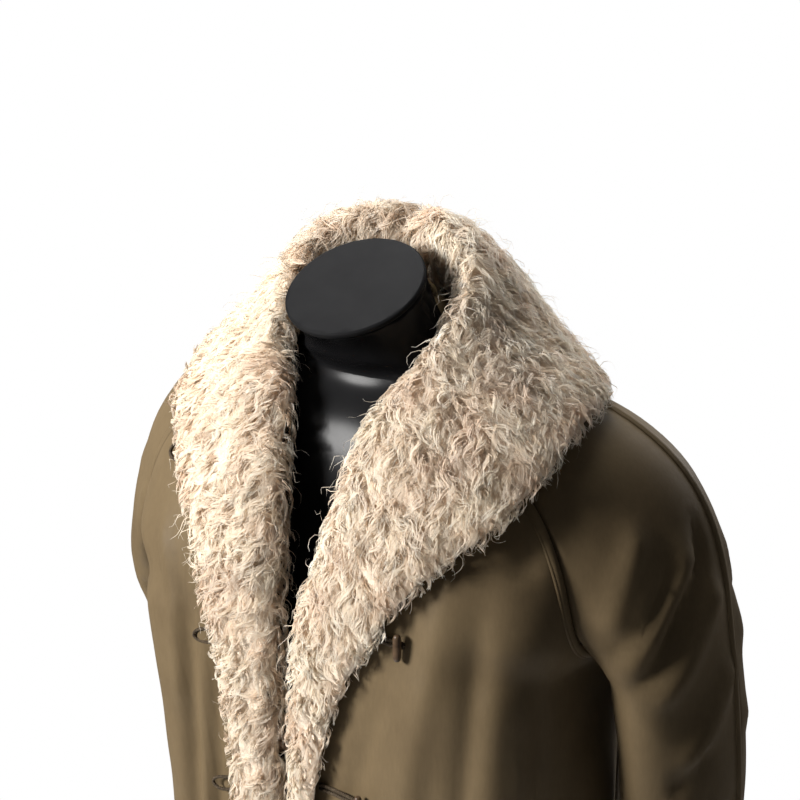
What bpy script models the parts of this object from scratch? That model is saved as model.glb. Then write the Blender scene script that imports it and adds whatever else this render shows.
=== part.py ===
"""Three-quarter coat with a shaggy shawl collar, worn open on a limbless dress form with a round foot.

Metres, +Z up. The coat faces -Y and its own left side is +X. The origin is the middle of the foot's
underside.
Every cloth piece is a wall made from a grid of middle points: its rows run down the garment and its
columns run across it. Neighbouring grids share the points of their seam and are parted there by SEAM_PART.
"""
import math

import bmesh
import bpy
import numpy as np
from mathutils.bvhtree import BVHTree

# ---------------------------------------------------------------- driving sizes
CLOTH = 0.0018        # thickness of the shell cloth with its lining
HEM_Z = 0.620         # height of the hem over the floor
SEAM_PART = 0.0002    # each piece's share of the gap at a seam
BASE_GAP = 0.0015     # middle of the cloth to the pelt that lies on it
STAND_LIFT = 0.0020   # middle of a panel to the collar stand sewn on its edge
GORGE_LIFT = 0.0054   # the stand's extra lift at the gorge
GORGE_STATIONS = 3.0  # collar stations over which that lift fades
NECK_PART = 0.0014    # how far the fronts' neck edges stop short of the stand
FOLD_GAP = 0.0048     # half the space between a front and its turned-back edge
ROLL_HALF = 0.012     # half the roll's breadth at the centre back
TIP_REACH = 0.40      # how far the pelt goes past the cloth's edge, as a share of the pile
TIP_RISE = 0.42       # and how high it stands there
TIP_SINK = 0.0006
BOW_BACK = 0.11       # how far the outer leg bows, as a share of its length: at the centre back,
BOW_LEFT = 0.07       # round the neck on the left,
BOW_RIGHT = 0.14      # on the right
BOW_LOW = 0.04        # and down the fronts
BOW_ROWS = 5.0        # rows of the front over which it changes
LAID_FROM = 1         # the turned-back edge lies on its panel below this row
LAPEL_BACK = 0.006    # how far the cloth's edge stops short of the fur's
LAPEL_SINK = 0.45     # how deep it lies in the pelt, as a share of the pile
LEG_NEAR = 0.010      # the roll line to where a front's inner leg starts, at the gorge
LEG_FAR = 0.020       # what is added to that lower down
LEG_DROP = 0.012      # the roll line stands this much higher than its row at the side
ARMPIT_PART = 0.0007  # each wall's extra step apart where the seams meet under the arm
TUCK = 0.0035         # how far the panels draw in beside the underarm, clear of the sleeves
TUCK_ROWS = 1.6       # rows and columns over which they do
TUCK_COLS = 2.0
OVERARM_DEG = 12.0    # the overarm seam lies this far behind the top of the arm
SHOULDER_DRAW = 0.016   # how far a raglan's ends draw in towards the neck
SHOULDER_ROWS = 3.0
INNER_SHARE = 0.6     # how much of a sleeve's inward shift its inner side takes
DRAG_FADE = 0.12      # fading of a drag fold beyond its ends, in sleeve lengths
CORD_R = 0.0013       # loop cord
CORD_GAP = 0.0004     # cord to what it touches
CORD_UNDER = CLOTH / 2 + CORD_R + CORD_GAP   # middle of a cord from the middle of the cloth it lies on
LOOP_DROP = math.radians(14.0)
TOGGLE_R = 0.0038
TOGGLE_L = 0.024
TOGGLE_AT = 0.026     # distance along its cord to the toggle

# Counts of rows, columns and sides
RAGLAN_ROWS = 10      # rows from the neck to the underarm
BODY_ROWS = 12        # rows from the underarm to the hem
SLEEVE_ROWS = 9       # rows from the underarm to the cuff
FRONT_COLS = 12       # columns of a front from its side to the roll line
SLEEVE_COLS = 7       # columns of half a sleeve
BACK_COLS = 9         # columns of half the back
IN_COLS = 4           # columns of the collar's inner leg
OUT_COLS = 6          # columns of its outer leg
COLLAR_COLS = 9       # stations from the gorge to the centre back
RING_SIDES = 32
TOGGLE_SIDES = 12
CORD_ROUND = 1
POLE_SIDES = 24
FOOT_SIDES = 48

# Heights of the loops on the right edge
LOOP_Z = (1.350, 1.205, 1.060, 0.915)
# The toggles on the left edge: height, and length of cord that shows as a share of the first one's
TOGGLES = ((1.250, 1.0), (1.088, 1.9), (0.943, 1.9))
# Line of a loop: distance out from the cloth's edge and distance along it
LOOP_SHAPE = ((0.001, 0.0041), (0.006, 0.0050), (0.014, 0.0062), (0.022, 0.0066),
              (0.029, 0.0056), (0.034, 0.0030), (0.0355, 0.0), (0.034, -0.0030), (0.029, -0.0056),
              (0.022, -0.0066), (0.014, -0.0062), (0.006, -0.0050), (0.001, -0.0041))
# Line of a toggle's cord, which passes behind the toggle
HOLD_SHAPE = ((0.001, 0.0022), (0.010, 0.0022), (0.020, 0.0022), (0.0262, 0.0020),
              (0.0280, 0.0012), (0.0286, 0.0), (0.0280, -0.0012), (0.0262, -0.0020), (0.020, -0.0022),
              (0.010, -0.0022), (0.001, -0.0022))
# Turned profile of a toggle: height from its middle as a share of half its length, share of its radius
TOGGLE_TURN = ((1.00, 0.45), (0.94, 0.72), (0.80, 0.90), (0.50, 1.00), (0.0, 1.00),
               (-0.50, 1.00), (-0.80, 0.90), (-0.94, 0.72), (-1.00, 0.45))

# Sleeve rings. O is the overarm point, M the point opposite, b half the ring's depth, phi its half angle:
# the arc is open above the underarm and a whole ring from there on.
#            Ox     Oy     Oz     Mx     My     Mz      b     phi
SLEEVE = ((0.098, 0.012, 1.442, 0.098, 0.012, 1.418, 0.094, 45.0),
          (0.150, 0.020, 1.430, 0.146, 0.020, 1.396, 0.108, 50.0),
          (0.208, 0.030, 1.411, 0.188, 0.028, 1.366, 0.117, 56.0),
          (0.268, 0.040, 1.366, 0.216, 0.034, 1.318, 0.116, 68.0),
          (0.297, 0.044, 1.308, 0.226, 0.037, 1.272, 0.110, 85.0),
          (0.309, 0.046, 1.252, 0.229, 0.039, 1.240, 0.105, 115.0),
          (0.316, 0.047, 1.205, 0.229, 0.041, 1.216, 0.101, 150.0),
          (0.322, 0.048, 1.165, 0.226, 0.042, 1.200, 0.098, 180.0))
#            Ox     Oy     Oz     Mx     My     Mz      b     inward back   (of the right sleeve)
FOREARM = ((0.322, 0.048, 1.165, 0.226, 0.042, 1.200, 0.098, 0.004, 0.000),
           (0.330, 0.050, 1.095, 0.236, 0.045, 1.115, 0.090, 0.022, 0.008),
           (0.333, 0.052, 1.020, 0.240, 0.048, 1.030, 0.083, 0.038, 0.018),
           (0.330, 0.050, 0.940, 0.243, 0.048, 0.948, 0.076, 0.038, 0.020),
           (0.325, 0.047, 0.860, 0.247, 0.045, 0.864, 0.071, 0.034, 0.020),
           (0.318, 0.044, 0.790, 0.251, 0.042, 0.791, 0.067, 0.030, 0.018))

# Body sections below the underarm, at height z: the side seam point, the two handles of the
# front's curve (the
# second one makes the corner beside the arm), the two handles of the back's curve and the centre back.
#             z      sx     sy     f1x    f1y     f2x    f2y     b1x    b1y    b2x    cby
BODY_L = ((1.200, 0.226, 0.042, 0.206, -0.172, 0.222, -0.132, 0.223, 0.130, 0.100, 0.140),
          (1.120, 0.221, 0.043, 0.204, -0.174, 0.236, -0.126, 0.230, 0.134, 0.105, 0.143),
          (1.040, 0.221, 0.044, 0.200, -0.176, 0.240, -0.126, 0.230, 0.140, 0.110, 0.147),
          (0.940, 0.222, 0.045, 0.196, -0.178, 0.242, -0.126, 0.234, 0.146, 0.115, 0.152),
          (0.840, 0.226, 0.045, 0.196, -0.182, 0.248, -0.126, 0.240, 0.152, 0.120, 0.158),
          (0.740, 0.232, 0.045, 0.196, -0.186, 0.256, -0.126, 0.248, 0.158, 0.125, 0.164),
          (0.620, 0.242, 0.045, 0.198, -0.192, 0.272, -0.128, 0.258, 0.166, 0.130, 0.172))
BODY_R = ((1.200, 0.226, 0.042, 0.194, -0.172, 0.222, -0.132, 0.223, 0.130, 0.100, 0.140),
          (1.120, 0.208, 0.043, 0.172, -0.174, 0.206, -0.132, 0.222, 0.134, 0.105, 0.143),
          (1.040, 0.194, 0.045, 0.158, -0.176, 0.190, -0.132, 0.211, 0.140, 0.108, 0.147),
          (0.940, 0.190, 0.047, 0.152, -0.178, 0.186, -0.132, 0.208, 0.146, 0.110, 0.152),
          (0.840, 0.194, 0.047, 0.154, -0.182, 0.194, -0.132, 0.212, 0.152, 0.112, 0.158),
          (0.740, 0.204, 0.046, 0.162, -0.186, 0.212, -0.132, 0.222, 0.158, 0.118, 0.164),
          (0.620, 0.221, 0.045, 0.176, -0.192, 0.240, -0.132, 0.240, 0.166, 0.124, 0.172))

# The same handles for the rows that end on the raglan seams, given as steps from the row's own ends:
# row 0 is the neck seam and row 1 the underarm.
#             row    f1x    f1y     f2x    f2y     b1x     b1y    b2x    cby    cbz
RAGLAN = ((0.00, 0.002, 0.014, 0.002, -0.012, -0.020, 0.006, 0.040, 0.098, 1.418),
          (0.20, 0.025, -0.010, -0.020, -0.016, -0.014, 0.020, 0.055, 0.112, 1.384),
          (0.45, 0.055, -0.016, -0.018, -0.036, -0.006, 0.028, 0.070, 0.124, 1.336),
          (0.70, 0.095, -0.022, 0.002, -0.064, 0.000, 0.040, 0.088, 0.132, 1.276),
          (0.88, 0.120, -0.026, -0.003, -0.112, 0.001, 0.070, 0.096, 0.137, 1.230),
          (1.00, 0.150, -0.028, -0.004, -0.174, -0.003, 0.088, 0.100, 0.140, 1.200))

# Collar stations, from the centre back round the neck and down the front edge. R is the pelt's
# crest along the
# roll line, E its outer edge, pile the pelt's depth, cx cy cz the way the crest points.
#             Rx     Ry     Rz      Ex     Ey     Ez     pile    cx    cy    cz
NECK_L = ((0.000, 0.046, 1.565, 0.000, 0.180, 1.404, 0.021, 0.00, -0.15, 1.0),
          (0.044, 0.040, 1.559, 0.074, 0.170, 1.402, 0.020, 0.00, -0.15, 1.0),
          (0.074, 0.018, 1.534, 0.132, 0.138, 1.407, 0.018, -0.15, -0.05, 1.0),
          (0.080, -0.010, 1.505, 0.174, 0.086, 1.422, 0.017, -0.30, 0.00, 1.0),
          (0.076, -0.043, 1.478, 0.203, 0.026, 1.429, 0.018, -0.45, -0.10, 0.9),
          (0.062, -0.074, 1.450, 0.206, -0.036, 1.418, 0.019, -0.60, -0.20, 0.8),
          (0.044, -0.100, 1.420, 0.200, -0.092, 1.388, 0.020, -0.75, -0.30, 0.6))
NECK_R = ((0.000, 0.046, 1.565, 0.000, 0.180, 1.404, 0.021, 0.00, -0.15, 1.0),
          (0.046, 0.040, 1.566, 0.078, 0.172, 1.402, 0.022, 0.00, -0.15, 1.0),
          (0.080, 0.018, 1.549, 0.140, 0.142, 1.407, 0.022, -0.15, -0.05, 1.0),
          (0.085, -0.010, 1.520, 0.181, 0.086, 1.424, 0.020, -0.30, 0.00, 1.0),
          (0.080, -0.040, 1.486, 0.203, 0.024, 1.429, 0.019, -0.45, -0.10, 0.9),
          (0.063, -0.068, 1.453, 0.197, -0.036, 1.417, 0.020, -0.60, -0.20, 0.8),
          (0.040, -0.094, 1.420, 0.180, -0.092, 1.388, 0.020, -0.75, -0.30, 0.6))
# The front edge, by the height of the roll line: crest, then the outer edge. Ez is the edge's own
# height; its
# depth is read from the panel that it lies on, but for the top rows.
#             z      Rx     Ry      Ex     Ey      Ez     pile
EDGE_L = ((1.420, 0.044, -0.100, 0.200, -0.092, 1.388, 0.020),
          (1.385, 0.040, -0.122, 0.176, -0.124, 1.354, 0.019),
          (1.345, 0.034, -0.137, 0.144, -0.148, 1.322, 0.018),
          (1.305, 0.026, -0.146, 0.116, -0.160, 1.290, 0.017),
          (1.260, 0.012, -0.151, 0.094, -0.166, 1.252, 0.016),
          (1.215, 0.004, -0.153, 0.068, -0.173, 1.211, 0.014),
          (1.150, -0.001, -0.154, 0.042, -0.176, 1.149, 0.012),
          (1.085, -0.001, -0.155, 0.028, -0.178, 1.085, 0.010),
          (0.900, -0.001, -0.158, 0.026, -0.182, 0.900, 0.010),
          (0.620, -0.001, -0.166, 0.026, -0.190, 0.620, 0.010))
EDGE_R = ((1.420, 0.040, -0.094, 0.180, -0.092, 1.388, 0.020),
          (1.375, 0.024, -0.120, 0.143, -0.124, 1.350, 0.019),
          (1.340, 0.014, -0.134, 0.118, -0.138, 1.320, 0.018),
          (1.300, 0.008, -0.144, 0.099, -0.152, 1.285, 0.018),
          (1.260, 0.007, -0.150, 0.088, -0.161, 1.250, 0.017),
          (1.200, 0.0065, -0.153, 0.073, -0.170, 1.197, 0.016),
          (1.130, 0.0065, -0.155, 0.062, -0.176, 1.129, 0.015),
          (1.065, 0.0065, -0.156, 0.056, -0.179, 1.065, 0.015),
          (0.900, 0.0065, -0.159, 0.056, -0.183, 0.900, 0.015),
          (0.620, 0.0065, -0.167, 0.056, -0.191, 0.620, 0.015))

# Hanging folds of the fronts and the back: where each runs at its top and bottom, its half width
# and its height
# (a trough is below zero), and the heights between which it grows and fades.
#                 x_top  x_low  width  rise    z_grow z_full
FOLDS_FRONT_L = ((0.078, 0.070, 0.016, -0.0050, 1.270, 1.150),
                 (0.108, 0.105, 0.016, 0.0045, 1.270, 1.150),
                 (0.137, 0.140, 0.013, -0.0045, 1.180, 1.080),
                 (0.185, 0.190, 0.020, 0.0030, 1.280, 1.180))
FOLDS_FRONT_R = ((0.100, 0.110, 0.015, -0.0040, 1.240, 1.120),
                 (0.150, 0.150, 0.020, 0.0045, 1.300, 1.150),
                 (0.185, 0.165, 0.012, -0.0045, 1.220, 1.080))
FOLDS_BACK = ((-0.150, -0.160, 0.022, 0.0050, 1.300, 1.100),
              (-0.100, -0.105, 0.020, -0.0050, 1.280, 1.080),
              (-0.030, -0.035, 0.026, 0.0045, 1.260, 1.060),
              (0.035, 0.040, 0.022, -0.0045, 1.260, 1.060),
              (0.095, 0.105, 0.022, 0.0050, 1.290, 1.080),
              (0.150, 0.160, 0.018, -0.0045, 1.280, 1.100))
# Drag folds of a sleeve: angle round the arm and row where each starts and ends, half width in
# degrees, rise.
#                 deg0    row0  deg1    row1  width  rise
FOLDS_SLEEVE = ((-25.0, 0.50, -75.0, 1.30, 16.0, -0.0055),
                (-60.0, 0.55, -110.0, 1.10, 16.0, -0.0050),
                (-5.0, 0.90, -60.0, 1.65, 16.0, 0.0045),
                (40.0, 0.55, 90.0, 1.25, 18.0, -0.0050),
                (25.0, 1.05, 80.0, 1.75, 18.0, 0.0040))

# Dress form: height, half width, half depth and middle of each ring.
#            z      a      b       y
TORSO = ((0.740, 0.150, 0.100, 0.015),
         (0.755, 0.160, 0.108, 0.015),
         (0.820, 0.168, 0.114, 0.015),
         (0.900, 0.162, 0.110, 0.014),
         (0.980, 0.142, 0.099, 0.012),
         (1.050, 0.133, 0.094, 0.009),
         (1.130, 0.145, 0.101, 0.006),
         (1.210, 0.163, 0.109, 0.003),
         (1.275, 0.176, 0.110, 0.003),
         (1.325, 0.180, 0.102, 0.006),
         (1.358, 0.180, 0.096, 0.008),
         (1.384, 0.175, 0.088, 0.010),
         (1.402, 0.165, 0.080, 0.012),
         (1.415, 0.152, 0.072, 0.013),
         (1.4255, 0.134, 0.064, 0.012),
         (1.434, 0.112, 0.058, 0.009),
         (1.4405, 0.092, 0.057, 0.004),
         (1.450, 0.072, 0.061, -0.008))
NECK_TILT_DEG = 28.5
FORM_NECK_R = 0.061
CAP_CENTRE = (0.0, -0.050, 1.513)
CAP_R = 0.0625
CAP_T = 0.006
CAP_EDGE = 0.0015     # rounding of the cap's rims
CAP_GAP = 0.0003      # between the form and its cap, and at both ends of the pole
NECK_RINGS = (0.2, 0.45, 0.72, 1.0)
NECK_WAIST = 0.06     # how much the neck narrows at its middle
CHEST_SQUARE = 0.7    # how much squarer than an ellipse the torso's sections are
SHOULDER_Z = 1.42
SHOULDER_FADE = 0.06
POLE_R = 0.015
FOOT_R = 0.165
FOOT_H = 0.022
FOOT_ROUND = 0.004

FORM = (0.010, 0.010, 0.011)
CAP = (0.035, 0.035, 0.036)
COAT = (0.255, 0.205, 0.140)
PELT = (0.760, 0.660, 0.520)
CORD = (0.230, 0.185, 0.130)
HORN = (0.070, 0.045, 0.030)
STEEL = (0.450, 0.450, 0.460)


# ---------------------------------------------------------------- small helpers
def unit(v):
    v = np.asarray(v, float)
    return v / np.maximum(np.linalg.norm(v, axis=-1, keepdims=True), 1e-12)


def smooth(x):
    x = np.clip(x, 0.0, 1.0)
    return x * x * (3.0 - 2.0 * x)


def ease(table, at):
    """Each column of a table, read smoothly at the given values of its first column."""
    t = np.asarray(table, float)
    key = t[:, 0]
    if key[-1] < key[0]:
        t = t[::-1]
        key = t[:, 0]
    slope = np.gradient(t[:, 1:], key, axis=0)
    at = np.clip(np.atleast_1d(at), key[0], key[-1])
    i = np.clip(np.searchsorted(key, at) - 1, 0, len(key) - 2)
    h = (key[i + 1] - key[i])[:, None]
    s = ((at - key[i])[:, None]) / h
    a = t[i, 1:]
    b = t[i + 1, 1:]
    return (a * (1 + 2 * s) * (1 - s) ** 2 + b * s * s * (3 - 2 * s)
            + h * slope[i] * s * (1 - s) ** 2 - h * slope[i + 1] * s * s * (1 - s))


def bezier(p0, p1, p2, p3, t):
    t = np.asarray(t)[:, None]
    return p0 * (1 - t) ** 3 + 3 * p1 * t * (1 - t) ** 2 + 3 * p2 * t * t * (1 - t) + p3 * t ** 3


def tangents(grid, axis):
    """Ways along one axis of a grid, each the mean of its two neighbours' ways."""
    d = unit(np.diff(grid, axis=axis))
    first = np.take(d, [0], axis=axis)
    last = np.take(d, [-1], axis=axis)
    return unit(np.concatenate([first, d], axis=axis) + np.concatenate([d, last], axis=axis))


def normals(grid, out):
    """Unit normals of a grid of points, turned to the side where out is positive."""
    return unit(np.cross(tangents(grid, 0), tangents(grid, 1))) * out


def material(name, colour, rough, metallic=0.0):
    m = bpy.data.materials.new(name)
    m.use_nodes = True
    s = m.node_tree.nodes["Principled BSDF"]
    s.inputs["Base Color"].default_value = (*colour, 1.0)
    s.inputs["Roughness"].default_value = rough
    s.inputs["Metallic"].default_value = metallic
    m.diffuse_color = (*colour, 1.0)
    return m


def put(name, verts, faces, mat, round_it=True):
    """A mesh object in the part's collection, its faces turned outward."""
    me = bpy.data.meshes.new(name)
    me.from_pydata([tuple(map(float, v)) for v in verts], [], faces)
    bm = bmesh.new()
    bm.from_mesh(me)
    bmesh.ops.recalc_face_normals(bm, faces=bm.faces)
    bm.to_mesh(me)
    bm.free()
    for p in me.polygons:
        p.use_smooth = round_it
    me.materials.append(mat)
    ob = bpy.data.objects.new(name, me)
    part.objects.link(ob)
    return ob


def wall(name, front, back, mat, cross):
    """A closed solid between two grids of the same shape. cross picks each square's diagonal."""
    rows, cols, _ = front.shape
    n = rows * cols
    faces = []
    for i in range(rows - 1):
        for j in range(cols - 1):
            a = i * cols + j
            b = a + 1
            c = b + cols
            d = a + cols
            for p, q, r in (((a, b, c), (a, c, d)) if cross else ((a, b, d), (b, c, d))):
                faces.append((p, q, r))
                faces.append((n + p, n + r, n + q))
    rim = [j for j in range(cols)]
    rim += [i * cols + cols - 1 for i in range(1, rows)]
    rim += [(rows - 1) * cols + j for j in range(cols - 2, -1, -1)]
    rim += [i * cols for i in range(rows - 2, 0, -1)]
    for k, a in enumerate(rim):
        b = rim[(k + 1) % len(rim)]
        faces.append((a, n + a, n + b, b))
    return put(name, np.vstack([front.reshape(-1, 3), back.reshape(-1, 3)]), faces, mat)


def split_seam(line, next_a, next_b):
    """Along a seam: the way from piece b to piece a, and the way through both walls."""
    w = unit(unit(next_a - line) - unit(next_b - line))
    along = unit(np.gradient(line, axis=0))
    w = unit(w - along * (w * along).sum(axis=1, keepdims=True))
    return w, unit(np.cross(along, w))


def tree_of(grids):
    """The surfaces of several grids made ready for casting rays at them."""
    verts = []
    faces = []
    for grid in grids:
        rows, cols = grid.shape[:2]
        first = len(verts)
        corners = [first + i * cols + j for i in range(rows - 1) for j in range(cols - 1)]
        verts += grid.reshape(-1, 3).tolist()
        faces += [(a, a + 1, a + cols + 1, a + cols) for a in corners]
    return BVHTree.FromPolygons(verts, faces)


class Cloth:
    """A grid of middle points with the way through its wall at each point."""

    def __init__(self, grid, out):
        self.grid = np.array(grid, float)
        self.out = out
        self.through = normals(self.grid, out)

    def fold(self, height):
        self.grid = self.grid + self.through * height[:, :, None]
        self.through = normals(self.grid, self.out)

    def edge(self, where, w, m):
        """Parts the edge by its share of the gap and turns its wall to the seam."""
        flip = np.sign((self.through[where] * m).sum(axis=-1, keepdims=True))
        flip = np.where(flip == 0, 1.0, flip)
        self.grid[where] = self.grid[where] + w * SEAM_PART
        self.through[where] = m * flip

    def solid(self, name, mat, cross=True):
        h = self.through * CLOTH / 2
        return wall(name, self.grid + h, self.grid - h, mat, cross)


def join(a, edge_a, next_a, b, edge_b, next_b):
    """Parts two cloths along the seam that they share."""
    line = (a.grid[edge_a] + b.grid[edge_b]) / 2
    w, m = split_seam(line, a.grid[next_a], b.grid[next_b])
    a.edge(edge_a, w, m)
    b.edge(edge_b, -w, m)


LAST_COL = (slice(None), -1)
LAST_BUT_COL = (slice(None), -2)


def mirrored(points, side):
    return points * np.array([side, 1.0, 1.0])


# ---------------------------------------------------------------- sleeves
def sleeve_rings(side):
    """Rows of the whole sleeve: overarm points, opposite points, depth and half angle."""
    top = np.array(SLEEVE)
    low = np.array(FOREARM)
    if side < 0:
        low[:, 0] -= low[:, 7]
        low[1:, 3] -= low[1:, 7] * INNER_SHARE
        low[:, 1] += low[:, 8]
        low[:, 4] += low[:, 8]
    row = np.arange(len(top)) / (len(top) - 1)
    upper = ease(np.column_stack([row, top]), np.linspace(0, 1, RAGLAN_ROWS + 1))
    phi = np.full(len(low), 180.0)
    both = np.vstack([top[-2:-1], np.column_stack([low[:, :7], phi])])
    row = np.concatenate([[-0.5], np.linspace(0, 1, len(low))])
    lower = ease(np.column_stack([row, both]), np.linspace(0, 1, SLEEVE_ROWS + 1)[1:])
    lower[:, 7] = 180.0
    return np.vstack([upper, lower])


def sleeve_arc(ring, degrees, fade):
    """Points of one ring at the given angles, forward below zero. fade draws its ends in at the neck."""
    over = ring[0:3]
    under = ring[3:6]
    phi = math.radians(ring[7])
    reach = (over - under) / (1.0 - math.cos(phi))
    a = np.radians(degrees)[:, None]
    points = over - reach + reach * np.cos(a) + np.array([0.0, 1.0, 0.0]) * ring[6] * np.sin(a)
    points[:, 0] -= SHOULDER_DRAW * fade * (a[:, 0] / phi) ** 2
    return points


def sleeve_height(degrees, row):
    """Height of the drag folds at an angle and a row, the row counted in arms' upper and lower halves."""
    total = np.zeros_like(degrees)
    for deg0, row0, deg1, row1, width, rise in FOLDS_SLEEVE:
        s = np.clip((row - row0) / (row1 - row0), 0.0, 1.0)
        centre = deg0 + (deg1 - deg0) * s
        off = (row - row0 - s * (row1 - row0)) / DRAG_FADE
        total += rise * np.exp(-((degrees - centre) / width) ** 2 - off ** 2)
    return total


def sleeve(side):
    """Front and back halves of a raglan sleeve, from the seam with the body to the overarm seam."""
    rings = sleeve_rings(side)
    halves = []
    for sign in (-1.0, 1.0):
        rows = []
        lift = []
        for k, ring in enumerate(rings):
            fade = smooth(1.0 - k / SHOULDER_ROWS)
            t = np.linspace(0, 1, SLEEVE_COLS + 1)
            degrees = sign * ring[7] * (1 - t) + OVERARM_DEG * t
            rows.append(sleeve_arc(ring, degrees, fade))
            row = k / RAGLAN_ROWS if k <= RAGLAN_ROWS else 1 + (k - RAGLAN_ROWS) / SLEEVE_ROWS
            lift.append(sleeve_height(degrees, row) * np.sin(np.pi * t) ** 0.5)
        cloth = Cloth(mirrored(np.array(rows), side), 1.0)
        middle = cloth.grid.mean(axis=(0, 1))
        reach = (cloth.grid[:, -2] - middle) * cloth.through[:, -2]
        cloth.out = 1.0 if reach.sum() > 0 else -1.0
        cloth.through *= cloth.out
        cloth.fold(np.array(lift))
        halves.append(cloth)
    return halves


# ---------------------------------------------------------------- collar and front edges
def profile(inner, crest, way, outer, bulge, gap, cols_in=IN_COLS, cols_out=OUT_COLS):
    """Points of the folded edge: up its inner leg, over the crest and down its outer leg."""
    way = unit(way)
    leg_in = unit(crest - inner)
    leg_out = unit(outer - crest)
    turn = (outer - inner) - way * np.dot(outer - inner, way)
    turn = unit(turn)
    long_in = np.linalg.norm(crest - inner)
    long_out = np.linalg.norm(outer - crest)
    t_in = 1 - (1 - np.linspace(0, 1, cols_in + 1)) ** 1.6
    t_out = np.linspace(0, 1, cols_out + 1) ** 1.5
    up = bezier(inner, inner + leg_in * long_in * 0.55, crest - turn * gap, crest, t_in)
    side = unit(bulge)
    down = bezier(crest, crest + turn * gap, crest + leg_out * long_out * 0.45
                  + side * long_out * np.linalg.norm(bulge), outer, t_out)
    return np.vstack([up, down[1:]])


def neck_stations(side):
    """Crest, outer edge, pile and way of each collar station from the centre back to the gorge."""
    table = np.array(NECK_L if side > 0 else NECK_R)
    row = np.linspace(0, 1, len(table))
    t = ease(np.column_stack([row, table]), np.linspace(0, 1, COLLAR_COLS + 1))
    return t[:, 0:3], t[:, 3:6], t[:, 6], unit(t[:, 7:10])


def edge_stations(side, heights):
    """The same for the rows of a front, by the height of its roll line."""
    table = EDGE_L if side > 0 else EDGE_R
    top = table[0][0]
    t = ease(table, heights)
    crest = np.column_stack([t[:, 0], t[:, 1], heights])
    gorge = unit((NECK_L if side > 0 else NECK_R)[-1][7:10])
    k = smooth((heights - 1.28) / (top - 1.28))[:, None]
    way = unit((1 - k) * np.array([-1.0, -0.10, 0.0]) + k * gorge)
    return crest, t[:, 2:5], t[:, 5], way


def cloth_fold(crest, edge, pile, way, out_way):
    """The cloth's own crest and outer edge, under a pelt of the given pile."""
    roll = crest - way * pile[:, None]
    back = unit(roll - edge)
    rim = edge + back * LAPEL_BACK - out_way * pile[:, None] * LAPEL_SINK
    return roll, rim


def out_ways(roll, edge):
    """Which way a fold's outer leg faces: away from the body, square to the leg and to the roll line."""
    along = tangents(edge * 0.5 + roll * 0.5, 0)
    n = unit(np.cross(along, unit(edge - roll)))
    away = unit(edge * np.array([1.0, 1.0, 0.0]))
    flip = np.where((n * away).sum(axis=1) > 0, 1.0, -1.0)
    return n * flip[:, None]


# ---------------------------------------------------------------- body rows
def panel_height(x, z, folds):
    """Height of a panel's hanging folds at x and z."""
    total = np.zeros_like(x)
    for x_top, x_low, width, rise, z_grow, z_full in folds:
        down = np.clip((z_grow - z) / (z_grow - HEM_Z), 0.0, 1.0)
        centre = x_top + (x_low - x_top) * down
        grown = smooth((z_grow - z) / (z_grow - z_full))
        total += rise * grown * np.exp(-((x - centre) / width) ** 2)
    return total


LEG_TOP = np.array([0.5, 0.5, 0.6])
LEG_LOW = np.array([1.0, 0.0, 0.0])


def tuck(k, cols):
    """How far each of a row's points is drawn in, most beside the underarm."""
    at = np.arange(cols)
    beside = np.minimum(at, 1) * np.exp(-((at - 1) / TUCK_COLS) ** 2)
    return TUCK * math.exp(-((k - RAGLAN_ROWS) / TUCK_ROWS) ** 2) * beside


def on_rows(rows, x, z):
    """Depth, at x and z, of the surface that the rows of a front make."""
    ys = []
    zs = []
    for row in rows:
        r = row[::-1]
        top = int(np.argmax(r[:, 0]))
        ys.append(np.interp(x, r[: top + 1, 0], r[: top + 1, 1]))
        zs.append(np.interp(x, r[: top + 1, 0], r[: top + 1, 2]))
    order = np.argsort(zs)
    return float(np.interp(z, np.array(zs)[order], np.array(ys)[order]))


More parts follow.
